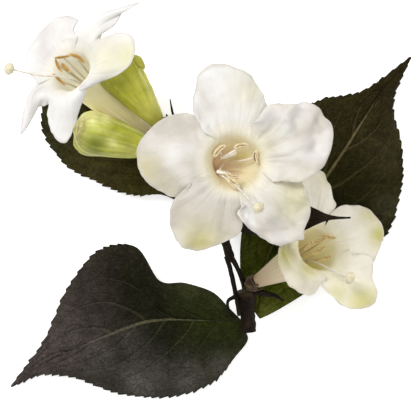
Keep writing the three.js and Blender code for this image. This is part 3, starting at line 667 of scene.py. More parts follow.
class Nodes:
    """A node tree with a short call for each step; a call gives the sockets that come out."""

    def __init__(self, tree):
        self.tree = tree

    def add(self, kind, settings=None, feeds=None):
        """Adds a node; feeds gives a value or another node's socket for each input."""
        node = self.tree.nodes.new(kind)
        for key, value in (settings or {}).items():
            setattr(node, key, value)
        for key, value in (feeds or {}).items():
            if isinstance(value, bpy.types.NodeSocket):
                self.tree.links.new(value, node.inputs[key])
            else:
                node.inputs[key].default_value = value
        return node.outputs

    def use(self, made_group, feeds=None):
        return self.add("ShaderNodeGroup", {"node_tree": made_group}, feeds)

    def calc(self, operation, first, second=0.0):
        return self.add("ShaderNodeMath", {"operation": operation}, {0: first, 1: second})[0]

    def plus(self, first, second):
        return self.calc("ADD", first, second)

    def minus(self, first, second):
        return self.calc("SUBTRACT", first, second)

    def times(self, first, second):
        return self.calc("MULTIPLY", first, second)

    def rescale(self, value, low, high, to_low=0.0, to_high=1.0):
        """Eases from to_low to to_high while the value goes from low to high."""
        return self.add("ShaderNodeMapRange", {"interpolation_type": "SMOOTHSTEP"},
                        {0: value, 1: low, 2: high, 3: to_low, 4: to_high})[0]

    def blend(self, amount, first, second, mode="MIX"):
        return self.add("ShaderNodeMix", {"data_type": "RGBA", "blend_type": mode},
                        {"Factor": amount, 6: as_light(first), 7: as_light(second)})[2]

    def ramp(self, value, stops):
        """A colour for each value, from stops (place, red, green, blue)."""
        colour = self.add("ShaderNodeValToRGB", None, {0: value})[0]
        elements = colour.node.color_ramp.elements
        while len(elements) < len(stops):
            elements.new(0.5)
        for element, (place, *shade) in zip(elements, stops):
            element.position = place
            element.color = as_light(shade)
        return colour

    def noise(self, feeds):
        return self.add("ShaderNodeTexNoise", None, feeds)

    def object_place(self):
        """Object coordinates, in metres."""
        return self.add("ShaderNodeTexCoord")["Object"]

    def uv(self):
        """The piece's own UV map: how far round or across it, and how far along it."""
        split = self.add("ShaderNodeSeparateXYZ", None, {0: self.add("ShaderNodeUVMap")[0]})
        return split[0], split[1]

    def mask(self, name):
        """One of the masks that new_mesh gives each piece: tint or tone."""
        return self.add("ShaderNodeAttribute", {"attribute_name": name})["Fac"]

    def mottle(self, colour, fineness, darker, lighter):
        """Lets a colour wander from darker to lighter; gives Colour and Height."""
        return self.use(MOTTLE, {"Colour": as_light(colour), "Fineness": fineness,
                                 "Darker": darker, "Lighter": lighter})


class Finish(Nodes):
    """A material whose Principled shader has its plain values set; it is kept by its name."""

    def __init__(self, name, **values):
        material = bpy.data.materials.new(name)
        material.use_nodes = True
        super().__init__(material.node_tree)
        self.shader = self.tree.nodes["Principled BSDF"]
        for key, value in values.items():
            self.shader.inputs[key.replace("_", " ")].default_value = value
        FINISHES[name] = material

    def show(self, **sockets):
        """Links sockets to the shader's inputs of these names."""
        for key, socket in sockets.items():
            self.tree.links.new(socket, self.shader.inputs[key.replace("_", " ")])

    def relief(self, height, depth):
        """Makes the surface stand up with height, by depth in millimetres."""
        bump = self.add("ShaderNodeBump", None,
                        {"Strength": 1.0, "Distance": depth * MM, "Height": height})
        self.show(Normal=bump[0])


def group(name, takes, gives):
    """A node group: its tree, the sockets that it takes, and the end that gives its results."""
    tree = bpy.data.node_groups.new(name, "ShaderNodeTree")
    for labels, way in ((takes, "INPUT"), (gives, "OUTPUT")):
        for label in labels:
            kind = "NodeSocketColor" if label == "Colour" else "NodeSocketFloat"
            tree.interface.new_socket(label, in_out=way, socket_type=kind)
    end = tree.nodes.new("NodeGroupOutput")

    def give(**results):
        for label, socket in results.items():
            tree.links.new(socket, end.inputs[label])
        return tree

    return Nodes(tree), tree.nodes.new("NodeGroupInput").outputs, give


def leaf_veins_group():
    """Masks of a leaf's midrib, side veins and fine net, from its UV map."""
    nodes, _, give = group("leaf veins", (), ("Midrib", "Veins", "Net", "Along", "Side"))
    across, along = nodes.uv()
    side = nodes.minus(nodes.times(across, 2.0), 1.0)
    reach = nodes.calc("ABSOLUTE", side)
    place = nodes.object_place()

    # side veins: lines that sweep forwards and wander, and grow thin towards the margin
    wander = nodes.noise({"Vector": place, "Scale": 160.0, "Detail": 1.0})[0]
    shift = nodes.times(nodes.minus(wander, 0.5), 0.16)
    swept = nodes.plus(nodes.times(reach, VEIN_SWEEP),
                       nodes.times(nodes.times(reach, reach), VEIN_BEND))
    phase = nodes.times(nodes.minus(along, swept), VEIN_PAIRS)
    stagger = nodes.times(nodes.calc("GREATER_THAN", side, 0.0), VEIN_STAGGER)
    phase = nodes.plus(nodes.plus(phase, shift), stagger)
    apart = nodes.calc("ABSOLUTE", nodes.minus(nodes.calc("FRACT", phase), 0.5))
    from_vein = nodes.minus(0.5, apart)
    thickness = nodes.times(nodes.minus(1.15, reach), 0.1)
    veins = nodes.minus(1.0, nodes.rescale(nodes.calc("DIVIDE", from_vein, thickness), 0.2, 1.0))
    veins = nodes.times(veins, nodes.rescale(reach, 1.0, 0.55))

    # the midrib, widest at the foot
    wide = nodes.minus(nodes.rescale(along, 0.0, 0.3, 0.08, 0.035),
                       nodes.rescale(along, 0.3, 1.0, 0.0, 0.004))
    midrib = nodes.minus(1.0, nodes.rescale(nodes.calc("DIVIDE", reach, wide), 0.35, 1.0))

    # a net of small uneven cells between the veins
    swirl = nodes.noise({"Vector": place, "Scale": 420.0, "Detail": 2.0})[1]
    warped = nodes.add("ShaderNodeVectorMath", {"operation": "MULTIPLY_ADD"},
                       {0: swirl, 1: (0.0024, 0.0024, 0.0024), 2: place})[0]
    cells = nodes.add("ShaderNodeTexVoronoi", {"feature": "DISTANCE_TO_EDGE"},
                      {"Vector": warped, "Scale": 820.0})["Distance"]
    net = nodes.minus(1.0, nodes.rescale(cells, 0.0, 0.2))
    return give(Midrib=midrib, Veins=veins, Net=net, Along=along, Side=side)


def mottle_group():
    """Lets a colour wander a little, as living tissue does, in lumps that also have a height."""
    nodes, taken, give = group(
        "mottle", ("Colour", "Fineness", "Darker", "Lighter"), ("Colour", "Height"))
    cloud = nodes.noise({"Vector": nodes.object_place(), "Scale": taken["Fineness"],
                         "Detail": 4.0, "Roughness": 0.6})[0]
    level = nodes.rescale(cloud, 0.3, 0.7, taken["Darker"], taken["Lighter"])
    tone = nodes.add("ShaderNodeCombineXYZ", None, {0: level, 1: level, 2: level})[0]
    return give(Colour=nodes.blend(1.0, taken["Colour"], tone, "MULTIPLY"), Height=cloud)


def streaks_group():
    """Fine lines that run from foot to tip of a petal, bud or stem."""
    nodes, taken, give = group("fine streaks", ("Across", "Along"), ("Lines", "Along"))
    across, along = nodes.uv()
    stretched = nodes.add("ShaderNodeCombineXYZ", None, {
        0: nodes.times(across, taken["Across"]),
        1: nodes.times(along, taken["Along"]),
    })[0]
    lines = nodes.noise({"Vector": stretched, "Scale": 1.0, "Detail": 2.0})[0]
    return give(Lines=nodes.rescale(lines, 0.35, 0.65), Along=along)


LEAF_VEINS = leaf_veins_group()
MOTTLE = mottle_group()
STREAKS = streaks_group()


def leaf_finish(name, sheen, base, middle, tip, margin, grey, olive, vein, vein_tip=None):
    """A leaf's skin: colours from foot to tip, places of greyish painted sheen, olive places, paler veins.
    """
    skin = Finish(name, Specular_IOR_Level=sheen)
    veins = skin.use(LEAF_VEINS)
    along = veins["Along"]
    colour = skin.ramp(
        along, [(0.0, *base), (0.25, *base), (0.45, *middle), (0.6, *middle), (0.85, *tip)])
    reach = skin.calc("ABSOLUTE", veins["Side"])
    colour = skin.blend(skin.times(skin.rescale(reach, 0.55, 1.0), 0.35), colour, margin)
    # painted sheen: a greyish colour in the places of the tone mask stands for a reflection
    colour = skin.blend(skin.mask("tone"), colour, grey)
    colour = skin.blend(skin.mask("tint"), colour, olive)
    mottled = skin.mottle(colour, fineness=300.0, darker=0.72, lighter=1.22)
    grained = skin.mottle(mottled["Colour"], fineness=1300.0, darker=0.8, lighter=1.2)
    colour = grained["Colour"]
    pale = skin.ramp(along, [(0.5, *vein), (0.85, *(vein_tip or vein))])
    for mask, amount in (("Net", 0.045), ("Veins", 0.18), ("Midrib", 0.8)):
        colour = skin.blend(skin.times(veins[mask], amount), colour, pale)
    raised = skin.times(veins["Veins"], -0.9)
    for socket, depth in ((veins["Net"], -0.7), (veins["Midrib"], -0.9), (grained["Height"], 1.2)):
        raised = skin.plus(raised, skin.times(socket, depth))
    skin.relief(raised, depth=0.26)
    skin.show(Base_Color=colour, Roughness=skin.rescale(mottled["Height"], 0.3, 0.7, 0.38, 0.56))


def petal_finish(name, stops, tinted, painted_shade, streak, streaks_to, painted_glow=0.0):
    """One skin of a corolla: stops give its colour from the tube's foot to the petals' tips. It takes
    painted shade by the tone mask and along its margins, and a painted glowing lights its tube.
    """
    skin = Finish(
        name, Roughness=0.6, Specular_IOR_Level=0.25, Sheen_Weight=0.05, Emission_Strength=1.0,
        Subsurface_Weight=0.2, Subsurface_Scale=0.0008, Subsurface_Radius=(1.0, 1.0, 0.9))
    streaks = skin.use(STREAKS, {"Across": 22.0, "Along": 1.6})
    lines, along = streaks["Lines"], streaks["Along"]
    colour = skin.ramp(along, stops)
    in_tube = skin.times(skin.rescale(along, streaks_to, streaks_to * 0.6), 0.7)
    colour = skin.blend(skin.times(lines, in_tube), colour, streak)
    colour = skin.blend(skin.times(lines, 0.05), colour, tinted)
    # painted shade: each petal's shaded share and its valleys, carried by the tone mask
    colour = skin.blend(skin.mask("tone"), colour, painted_shade)
    colour = skin.blend(skin.mask("tint"), colour, tinted)
    # painted shade along the margins: thin darker outlines at the petals' edges
    colour = skin.blend(skin.rescale(along, 0.95, 1.0, 0.0, 0.75), colour, painted_shade)
    mottled = skin.mottle(colour, fineness=170.0, darker=0.94, lighter=1.03)
    # painted glowing in the tube, strongest towards its foot, stands for light reaching into it
    lit = skin.rescale(along, TUBE_ROWS_SHARE, 0.1, 0.0, painted_glow)
    skin.relief(skin.plus(skin.times(lines, 0.28), mottled["Height"]), depth=0.16)
    skin.show(Base_Color=mottled["Colour"], Emission_Color=skin.blend(lit, BLACK, mottled["Colour"]))


def bud_finish(name, foot, body, tip, pale, dark_green_and_shade, speckled=0.0):
    """A bud's skin: painted highlights over pale patches, with a little painted glowing there, paler
    streaks, darker places that are partly its own green and partly painted shade, painted shade in its
    furrows, and brown specks near the tip.
    """
    skin = Finish(name, Roughness=0.45, Specular_IOR_Level=0.25, Subsurface_Weight=0.12,
                  Subsurface_Scale=0.001, Emission_Strength=1.0)
    streaks = skin.use(STREAKS, {"Across": 22.0, "Along": 1.2})
    lines, along = streaks["Lines"], streaks["Along"]
    colour = skin.ramp(along, [(0.0, *foot), (0.25, *body), (0.8, *body), (1.0, *tip)])
    # the tone mask: painted highlights, partly over pale patches of the bud's own colour
    tone = skin.mask("tone")
    colour = skin.blend(tone, colour, pale)
    colour = skin.blend(skin.times(lines, 0.3), colour, pale)
    # the tint mask: darker places, partly the bud's own deeper green and partly painted shade at its foot,
    # and painted shade in its furrows
    colour = skin.blend(skin.mask("tint"), colour, dark_green_and_shade)
    mottled = skin.mottle(colour, fineness=300.0, darker=0.85, lighter=1.12)
    specks = skin.rescale(skin.use(MOTTLE, {"Fineness": 1100.0})["Height"], 0.48, 0.6)
    specks = skin.times(specks, skin.rescale(along, 0.78, 0.94))
    colour = skin.blend(skin.times(specks, speckled), mottled["Colour"], SPECKLE_BROWN)
    skin.relief(skin.plus(skin.times(lines, 0.7), mottled["Height"]), depth=0.2)
    # painted glowing: the highlighted places give off a little light of their own
    skin.show(Base_Color=colour, Emission_Color=skin.blend(skin.times(tone, 0.22), BLACK, pale))


def bark_finish(name, base, lighter):
    """Young bark or a calyx: fine lengthwise lines over mottled brown."""
    skin = Finish(name, Roughness=0.6, Specular_IOR_Level=0.1)
    lines = skin.use(STREAKS, {"Across": 9.0, "Along": 2.5})["Lines"]
    colour = skin.blend(skin.times(lines, 0.35), base, lighter)
    colour = skin.blend(skin.mask("tint"), colour, lighter)
    mottled = skin.mottle(colour, fineness=900.0, darker=0.6, lighter=1.3)
    skin.relief(skin.plus(lines, mottled["Height"]), depth=0.14)
    skin.show(Base_Color=mottled["Colour"])


def anther_finish(name, gold, slit, cream):
    """A stamen: its tint goes from -1 on the cream filament over 0 to 1 in the anther's slit."""
    skin = Finish(name, Roughness=0.7, Specular_IOR_Level=0.25)
    tint = skin.mask("tint")
    mottled = skin.mottle(gold, fineness=1500.0, darker=0.7, lighter=1.2)
    colour = skin.blend(skin.rescale(tint, 0.0, -1.0), mottled["Colour"], cream)
    colour = skin.blend(skin.rescale(tint, 0.5, 1.0), colour, slit)
    skin.relief(mottled["Height"], depth=0.12)
    skin.show(Base_Color=colour)


def cream_finish(name, base, tip):
    """Style and stigma: cream, with a fine-grained round end."""
    skin = Finish(name, Roughness=0.6, Specular_IOR_Level=0.35, Subsurface_Weight=0.15,
                  Subsurface_Scale=0.001)
    colour = skin.blend(skin.mask("tint"), base, tip)
    mottled = skin.mottle(colour, fineness=1400.0, darker=0.85, lighter=1.08)
    skin.relief(mottled["Height"], depth=0.16)
    skin.show(Base_Color=mottled["Colour"])


leaf_finish(
    "leaf_lower_left", sheen=0.06, base=(34, 40, 5), middle=(20, 20, 5), tip=(70, 62, 58),
    margin=(48, 43, 34), grey=(84, 80, 74), olive=(58, 62, 30), vein=(92, 89, 66),
    vein_tip=(106, 95, 89))
leaf_finish(
    "leaf_lower_right", sheen=0.04, base=(72, 84, 15), middle=(34, 32, 8), tip=(42, 36, 14),
    margin=(46, 43, 20), grey=(66, 64, 40), olive=(92, 96, 36), vein=(112, 108, 60),
    vein_tip=(116, 98, 74))
leaf_finish(
    "leaf_upper_left", sheen=0.04, base=(66, 63, 22), middle=(70, 64, 31), tip=(50, 49, 24),
    margin=(52, 48, 26), grey=(86, 79, 48), olive=(64, 64, 16), vein=(92, 87, 50))
leaf_finish(
    "leaf_upper_right", sheen=0.04, base=(32, 25, 15), middle=(32, 25, 16), tip=(38, 30, 20),
    margin=(36, 29, 20), grey=(62, 50, 40), olive=(60, 52, 30), vein=(72, 58, 46))
leaf_finish(
    "leaf_under", sheen=0.3, base=(84, 88, 58), middle=(88, 86, 64), tip=(92, 86, 70),
    margin=(90, 84, 66), grey=(96, 94, 72), olive=(100, 100, 60), vein=(122, 120, 88))

petal_finish(
    "petal_white_inside",
    [(0.0, 88, 42, 18), (0.07, 146, 100, 64), (0.12, 204, 180, 144), (0.2, 218, 205, 170),
     (0.32, 219, 208, 174), (0.38, 224, 216, 190), (0.44, 230, 224, 208), (0.52, 233, 231, 227),
     (1.0, 232, 230, 229)],
    tinted=(190, 181, 116), painted_shade=(201, 194, 184), streak=(184, 150, 122), streaks_to=0.3, painted_glow=0.34)
petal_finish(
    "petal_white_outside",
    [(0.0, 150, 136, 92), (0.2, 200, 190, 150), (0.35, 232, 226, 206), (1.0, 236, 233, 229)],
    tinted=(196, 189, 126), painted_shade=(206, 198, 186), streak=(170, 150, 100), streaks_to=0.3)
petal_finish(
    "petal_left_inside",
    [(0.0, 150, 120, 76), (0.12, 206, 192, 150), (0.2, 228, 224, 202), (0.4, 234, 231, 220),
     (0.5, 234, 232, 228), (1.0, 233, 232, 230)],
    tinted=(218, 214, 172), painted_shade=(200, 193, 192), streak=(208, 194, 156), streaks_to=0.26, painted_glow=0.35)
petal_finish(
    "petal_left_outside",
    [(0.0, 148, 138, 73), (0.12, 196, 188, 130), (0.3, 232, 224, 186), (0.42, 240, 235, 222),
     (1.0, 238, 237, 234)],
    tinted=(236, 232, 180), painted_shade=(200, 194, 194), streak=(224, 208, 180), streaks_to=0.25, painted_glow=0.2)
petal_finish(
    "petal_cream_inside",
    [(0.0, 120, 80, 40), (0.12, 190, 150, 92), (0.2, 218, 206, 146), (0.3, 236, 228, 180),
     (0.42, 248, 240, 210), (0.6, 255, 248, 231), (1.0, 255, 248, 231)],
    tinted=(205, 199, 117), painted_shade=(218, 208, 190), streak=(160, 116, 58), streaks_to=0.3, painted_glow=0.2)
petal_finish(
    "petal_cream_outside",
    [(0.0, 172, 146, 112), (0.2, 238, 226, 202), (0.35, 248, 242, 222), (1.0, 238, 233, 216)],
    tinted=(206, 200, 126), painted_shade=(208, 202, 186), streak=(206, 184, 150), streaks_to=0.4, painted_glow=0.1)

bud_finish("bud_upper", foot=(120, 112, 54), body=(170, 172, 40), tip=(162, 172, 30),
           pale=(206, 202, 100), dark_green_and_shade=(112, 112, 30))
bud_finish("bud_lower", foot=(196, 190, 96), body=(184, 188, 62), tip=(214, 206, 112),
           pale=(255, 252, 180), dark_green_and_shade=(98, 106, 18), speckled=0.6)

bark_finish("bark", base=(20, 13, 7), lighter=(60, 46, 30))
bark_finish("calyx", base=(44, 34, 22), lighter=(92, 78, 46))
bark_finish("calyx_grey", base=(62, 48, 34), lighter=(128, 110, 84))

anther_finish("anther_tan", gold=(226, 206, 164), slit=(84, 54, 18), cream=(240, 233, 220))
anther_finish("anther_gold", gold=(222, 194, 132), slit=(160, 124, 62), cream=(216, 196, 158))
anther_finish("anther_brown", gold=(186, 148, 80), slit=(110, 74, 30), cream=(216, 206, 178))
cream_finish("style", base=(226, 221, 207), tip=(224, 216, 186))

# ---- leaves ---------------------------------------------------------------------------------


def leaf_rule(leaf):
    """The blade's middle surface; side is -1 on the left margin, 0 on the midrib, 1 on the right."""
    midrib = spline(leaf["midrib"])
    margins = {-1: spline(leaf["left"]), 1: spline(leaf["right"])}
    toothed_from = dict(zip((-1, 1), leaf["toothed_from"]))
    teeth = {}
    for turn, line in margins.items():
        toothed = by_length(line)[1] * (1.0 - toothed_from[turn])
        teeth[turn] = max(round(toothed / TOOTH_PITCH), 3)

    def tooth(turn, share, reach):
        """How far the margin is pulled out: a saw's teeth, smaller at the foot and the tip."""
        past = (share - toothed_from[turn]) / (1.0 - toothed_from[turn])
        if past <= 0.0 or reach <= 1.0 - TOOTHED_RIM:
            return 0.0
        saw = (past * teeth[turn]) % 1.0
        height = saw ** 1.2 * TOOTH_DEPTH * smooth((reach - 0.8) / TOOTHED_RIM)
        height *= smooth(past * 6.0) * (1.0 - smooth((share - 0.93) / 0.07) * 0.6)
        return height * (0.8 + 0.5 * noise.noise(Vector((past * teeth[turn] * 0.7, turn * 3.0, 0.0))))

    def rule(side, share):
        turn = -1 if side < 0 else 1
        reach = abs(side)
        middle = midrib(share)
        margin = margins[turn](share)
        width = (margin - middle).length
        across = unit(margin - middle, Vector((turn, 0, 0)))
        up = unit(across.cross(heading(midrib, share, 0.02)) * turn, UP)
        edge_along = heading(margins[turn], share)
        outward = unit(across - edge_along * across.dot(edge_along), across)
        point = middle.lerp(margin, reach)
        height = tooth(turn, share, reach)
        if height:
            point += outward * height + edge_along * (height * TOOTH_LEAN)
        phase = (share - VEIN_SWEEP * reach - VEIN_BEND * reach * reach) * VEIN_PAIRS
        phase += VEIN_STAGGER if turn > 0 else 0.0
        pillow = abs(math.sin(math.pi * phase)) ** 0.6 * smooth(reach * 8.0) * (1.0 - reach ** 3)
        calm = min(1.0, width / 6.0)    # the blade's narrow ends stay flat
        lift = (pillow * PILLOW_HEIGHT - PILLOW_SINK) * calm
        lift += BLADE_CROWN * calm * math.sin(math.pi * reach)
        lift += BLADE_WAVES * calm * ripple(*point, 6.0, turn) * smooth(reach * 2.0)
        lift -= MIDRIB_GROOVE * calm * (1.0 - smooth(reach * 14.0))
        point += up * lift
        point.z = max(point.z, LEAF_SKIN * 0.7)
        # the olive places go in the tint mask, and the places of painted sheen in the tone mask
        return point, spots(point, leaf["olives"]), spots(point, leaf["painted_sheen_places"])

    return rule


for name, leaf in LEAVES.items():
    bm = new_mesh()
    patch(bm, LEAF_COLUMNS, LEAF_ROWS, leaf_rule(leaf))
    bmesh.ops.remove_doubles(bm, verts=bm.verts, dist=1e-3)
    deal(bm, name, (name, "leaf_under"), LEAF_SKIN, 1)

# ---- corollas ---------------------------------------------------------------------------------


def flower_frame(flower):
    """The place of a flower's own frame: its mouth's middle, with +Z out of the mouth."""
    axis = Vector(flower["faces"]).normalized()
    turned = Matrix((*sides_of(axis), axis)).transposed().to_4x4()
    return Matrix.Translation(Vector(flower["mouth"])) @ turned


def over_mouth(flower, spot, height):
    """The point right over or under spot that is height above the flower's mouth."""
    axis = Vector(flower["faces"]).normalized()
    mouth = Vector(flower["mouth"])
    x, y = spot
    rise = (height - axis.x * (x - mouth.x) - axis.y * (y - mouth.y)) / axis.z
    return Vector((x, y, mouth.z + rise))


def tube_line(flower, sway):
    """The tube's middle line from its foot to the mouth, in the flower's frame, and its length."""
    foot = flower_frame(flower).inverted() @ Vector(flower["foot"])
    upper = UP * (-foot.length * TUBE_HANDLE)
    lower = foot.lerp(upper, 0.5) + Vector(sway)

    def curve(t):
        a = (1 - t) ** 3
        b = 3 * t * (1 - t) ** 2
        c = 3 * t * t * (1 - t)
        return foot * a + lower * b + upper * c

    return by_length(curve)


def tube_point(profile, line, length, share, angle):
    """A point of the tube or limb, and the direction into the flower there."""
    radius, along = profile(share)
    inside = min(max(along, 0.0), 1.0)
    axis = heading(line, inside)
    right, up = sides_of(axis)
    spread = right * math.cos(angle) + up * math.sin(angle)
    ahead, behind = profile(min(share + 0.01, 1.0)), profile(share - 0.01)
    slope = Vector((ahead.x - behind.x, (ahead.y - behind.y) * length)).normalized()
    inner = axis * slope.x - spread * slope.y
    return line(inside) + axis * ((along - inside) * length) + spread * radius, inner


def petal_rule(flower, petal, to_flower, middle, half, rim):
    """The petal's middle surface, from the limb's edge (row 0) to the petal's margin (row 1)."""
    start_rise, middle_rise, end_rise = petal["rise"]
    points = []
    for index, spot in enumerate(petal["margin"]):
        side = 2 * index / (len(petal["margin"]) - 1) - 1
        ends = start_rise if side < 0 else end_rise
        rise = middle_rise + (ends - middle_rise) * side * side
        points.append(to_flower @ over_mouth(flower, spot, rise))
    margin = by_length(spline(points))[0]
    tilt = math.radians(petal["tilt"])

    def at(side, wide, row):
        angle = middle + wide * half
        outward = Vector((math.cos(angle), math.sin(angle), 0))
        start = outward * rim["radius"] + UP * rim["height"]
        end = margin((side + 1) / 2)
        span = (end - start).length
        flat = unit(Vector((end.x - start.x, end.y - start.y, 0)), outward)
        leave = (outward * (rim["out"] * petal.get("sweep", 1.0)) + UP * rim["up"]) * span
        arrive = (flat * math.sin(tilt) + UP * math.cos(tilt)) * span
        point = hermite(start, end, leave, arrive, row)
        ahead = hermite(start, end, leave, arrive, row + 0.02)
        behind = hermite(start, end, leave, arrive, max(row - 0.02, 0.0))
        along = (ahead - behind).normalized() if span > 1e-3 else leave.normalized()
        inner = (UP - along * along.z).normalized()
        bulge = petal.get("bulge", 0.0) * math.sin(math.pi * row) * (1 - side * side)
        return point + inner * (petal["cup"] * side * side * math.sin(math.pi / 2 * row) + bulge), inner

    return at


def corolla(flower):
    """Tube, limb and petals in five strips, each from the tube's foot to a petal's margin."""
    place = flower_frame(flower)
    line, length = tube_line(flower, flower["sway"])
    profile = outline(flower["tube"])
    edge, before = profile(1.0), profile(0.99)
    slope = Vector((edge.x - before.x, (edge.y - before.y) * length)).normalized()
    rim = {"radius": edge.x, "height": (edge.y - 1) * length, "out": slope.x, "up": slope.y}
    notches = [*flower["notches"], flower["notches"][0] + 360]
    bm = new_mesh()
    for index, petal in enumerate(flower["petals"]):
        start, stop = notches[index:index + 2]
        middle = math.radians((start + stop) / 2)
        half = math.radians((stop - start) / 2)
        surface = petal_rule(flower, petal, place.inverted(), middle, half, rim)
        seed = index + len(flower["finish"])
        laps = petal.get("laps") or [LAP_OVER if over else LAP_UNDER for over in petal["over"]]

        def rule(side, row):
            reach = abs(side)
            end = 0 if side < 0 else 1
            over = petal["over"][end]
            tube = min(row / TUBE_ROWS_SHARE, 1.0)
            share = max((row - TUBE_ROWS_SHARE) / (1 - TUBE_ROWS_SHARE), 0.0)
            free = smooth((tube - FREE_FROM) / (1 - FREE_FROM))
            lap = math.radians(laps[end]) / half
            wide = side * (1 + lap * free * smooth((reach - 0.5) * 2.0))
            if share <= 0.0:
                point, inner = tube_point(profile, line, length, tube, middle + wide * half)
            else:
                point, inner = surface(side, wide, share)
            here = place @ point
            grown = smooth(share * 1.4)
            margin = smooth((share - 0.5) / 0.5)

            # the margin's frill, and three sizes of waves over the face
            frill = math.sin(side * 15.0 + seed * 2.1) * 0.4 + ripple(*here, FRILL_SIZE, seed) * 1.3
            lift = petal["frill"] * frill * margin
            lift += petal["waves"] * ripple(side * 2.6, share * 1.5, seed, 1.0) * grown
            for amount, size, other in FACE_WAVES:
                lift += petal["waves"] * amount * ripple(*here, size, seed + other) * grown

            # fine pleats that fan out, and the folds
            fan = math.sin(side * 26.0 + 5.0 * ripple(side * 2.0, share * 2.0, seed, 1.0))
            lift += petal["pleats"] * fan * free * (1 - 0.6 * share)
            valley = 0.0
            for fold, depth, width in petal["folds"]:
                across = (side - fold + 0.2 * ripple(share, seed, 0.0, 0.5)) / width
                valley += depth * math.exp(-across * across) * free
            lift -= valley * (1 - 0.6 * smooth(share))

            # the ends stand over or under their neighbours, and the tube has five soft ribs
            lift += (over - 0.25 * (over == 0)) * smooth((reach - 0.5) / 0.5) * free
            lift -= 0.1 * math.cos(side * math.pi) * smooth(tube * 2.0) * (1 - free)

            point = place @ (point + inner * lift)
            wander = EDGE_WANDER * ripple(*here, EDGE_WANDER_SIZE, seed + 2) * margin
            point += Vector((1, 1, 0)) * wander
            # painted shade: each petal's share of it, in soft clouds, and more of it in its valleys
            cloud = 0.8 + 0.9 * ripple(*here, SHADE_CLOUD_SIZE, seed + 4)
            tone = petal["tone"] * cloud * free + max(valley, 0.0) * 0.9 * smooth(share * 2.0)
            return point, spots(here, flower["tints"]), min(max(tone, 0.0), 1.0)

        patch(bm, PETAL_COLUMNS, PETAL_ROWS, rule)
    bmesh.ops.remove_doubles(bm, verts=bm.verts, dist=5e-3)
    return bm


# ---- what stands inside a flower -----------------------------------------------------------------


def anther(bm, ends, facing, plump, bend, slit_width):
    """A long two-lobed anther with its slit towards facing."""
    narrow = slit_width / plump
    tint = bm.verts.layers.float["tint"]
    centre = (ends[0] + ends[1]) / 2
    direction = ends[1] - ends[0]
    length = direction.length
    direction.normalize()
    across = direction.cross(facing).normalized()
    up = across.cross(direction).normalized()
    ball = bmesh.ops.create_uvsphere(bm, u_segments=24, v_segments=20, radius=1.0)
    for vert in ball["verts"]:
        x, y, z = vert.co
        round_end = (1 - abs(z) ** 3) ** 0.5 / max((1 - z * z) ** 0.5, 0.3)
        slit = math.exp(-((x / narrow) ** 2)) * smooth((y + 0.1) / 0.5) * smooth((1 - abs(z)) * 2.5)
        y = (y * 0.8 - slit * 0.3) * round_end
        x = x * round_end
        curve = bend * (1 - z * z)
        vert[tint] = slit - 0.5 * smooth((abs(z) - 0.5) / 0.5)
        vert.co = centre + across * (x * plump + curve) + up * (y * plump) + direction * (z * length / 2)


def stamen(flower, detail):
    """A filament that leaves the tube's wall, and the anther at its end."""
    place = flower_frame(flower)
    line = tube_line(flower, flower["sway"])[0]
    ends = [over_mouth(flower, spot, detail["height"]) for spot in detail["ends"]]
    centre = place.inverted() @ ((ends[0] + ends[1]) / 2)
    out = Vector((centre.x, centre.y, 0)).normalized()
    way = [line(share) + out * (flower["throat"] * off) for share, off in FILAMENT_STARTS]
    way = [place @ point for point in (*way, centre - UP * 0.3)]
    if "waist" in detail:
        x, y, height = detail["waist"]
        way.insert(2, over_mouth(flower, (x, y), height))
    stout = detail.get("stout", 1.0) - 1.0

    def thickness(share):
        return FILAMENT_RADIUS * (1.2 - 0.4 * share) * (1 + stout * (1 - smooth(share * 2 - 1)))

    bm = new_mesh()
    rod(bm, spline(way), thickness, sides=10, steps=18, tint_at=lambda share: -1.0)
    facing = (place.to_3x3() @ (UP - out * 0.3)).normalized()
    facing = (facing + UP * 0.6).normalized()
    anther(bm, ends, facing, detail["plump"], detail["bend"], detail.get("slit", SLIT_WIDTH))
    return bm


def style(flower):
    """A style that rises through the tube, with its round grooved stigma."""
    place = flower_frame(flower)
    line = tube_line(flower, flower["sway"])[0]
    inside = [place @ line(share) for share in STYLE_STARTS]
    path = by_length(spline([*inside, *flower["style"]]))[0]
    bm = new_mesh()
    rod(bm, path, lambda share: STYLE_RADIUS * (1.1 - 0.2 * share), sides=12, steps=40)
    tint = bm.verts.layers.float["tint"]
    end = path(1.0)
    turn = UP.rotation_difference(heading(path, 1.0))
    ball = bmesh.ops.create_uvsphere(bm, u_segments=28, v_segments=18, radius=STIGMA_RADIUS)
    for vert in ball["verts"]:
        x, y, z = vert.co
        groove = math.exp(-((x / STIGMA_GROOVE) ** 2)) * smooth(z / 0.6) * 0.2
        z = z * 0.8 - groove
        grain = 1 + 0.05 * ripple(x, y, z, 0.4)
        vert.co = end + turn @ (Vector((x, y, z)) * grain)
        vert[tint] = 1.0
    return bm


SEATS = {}


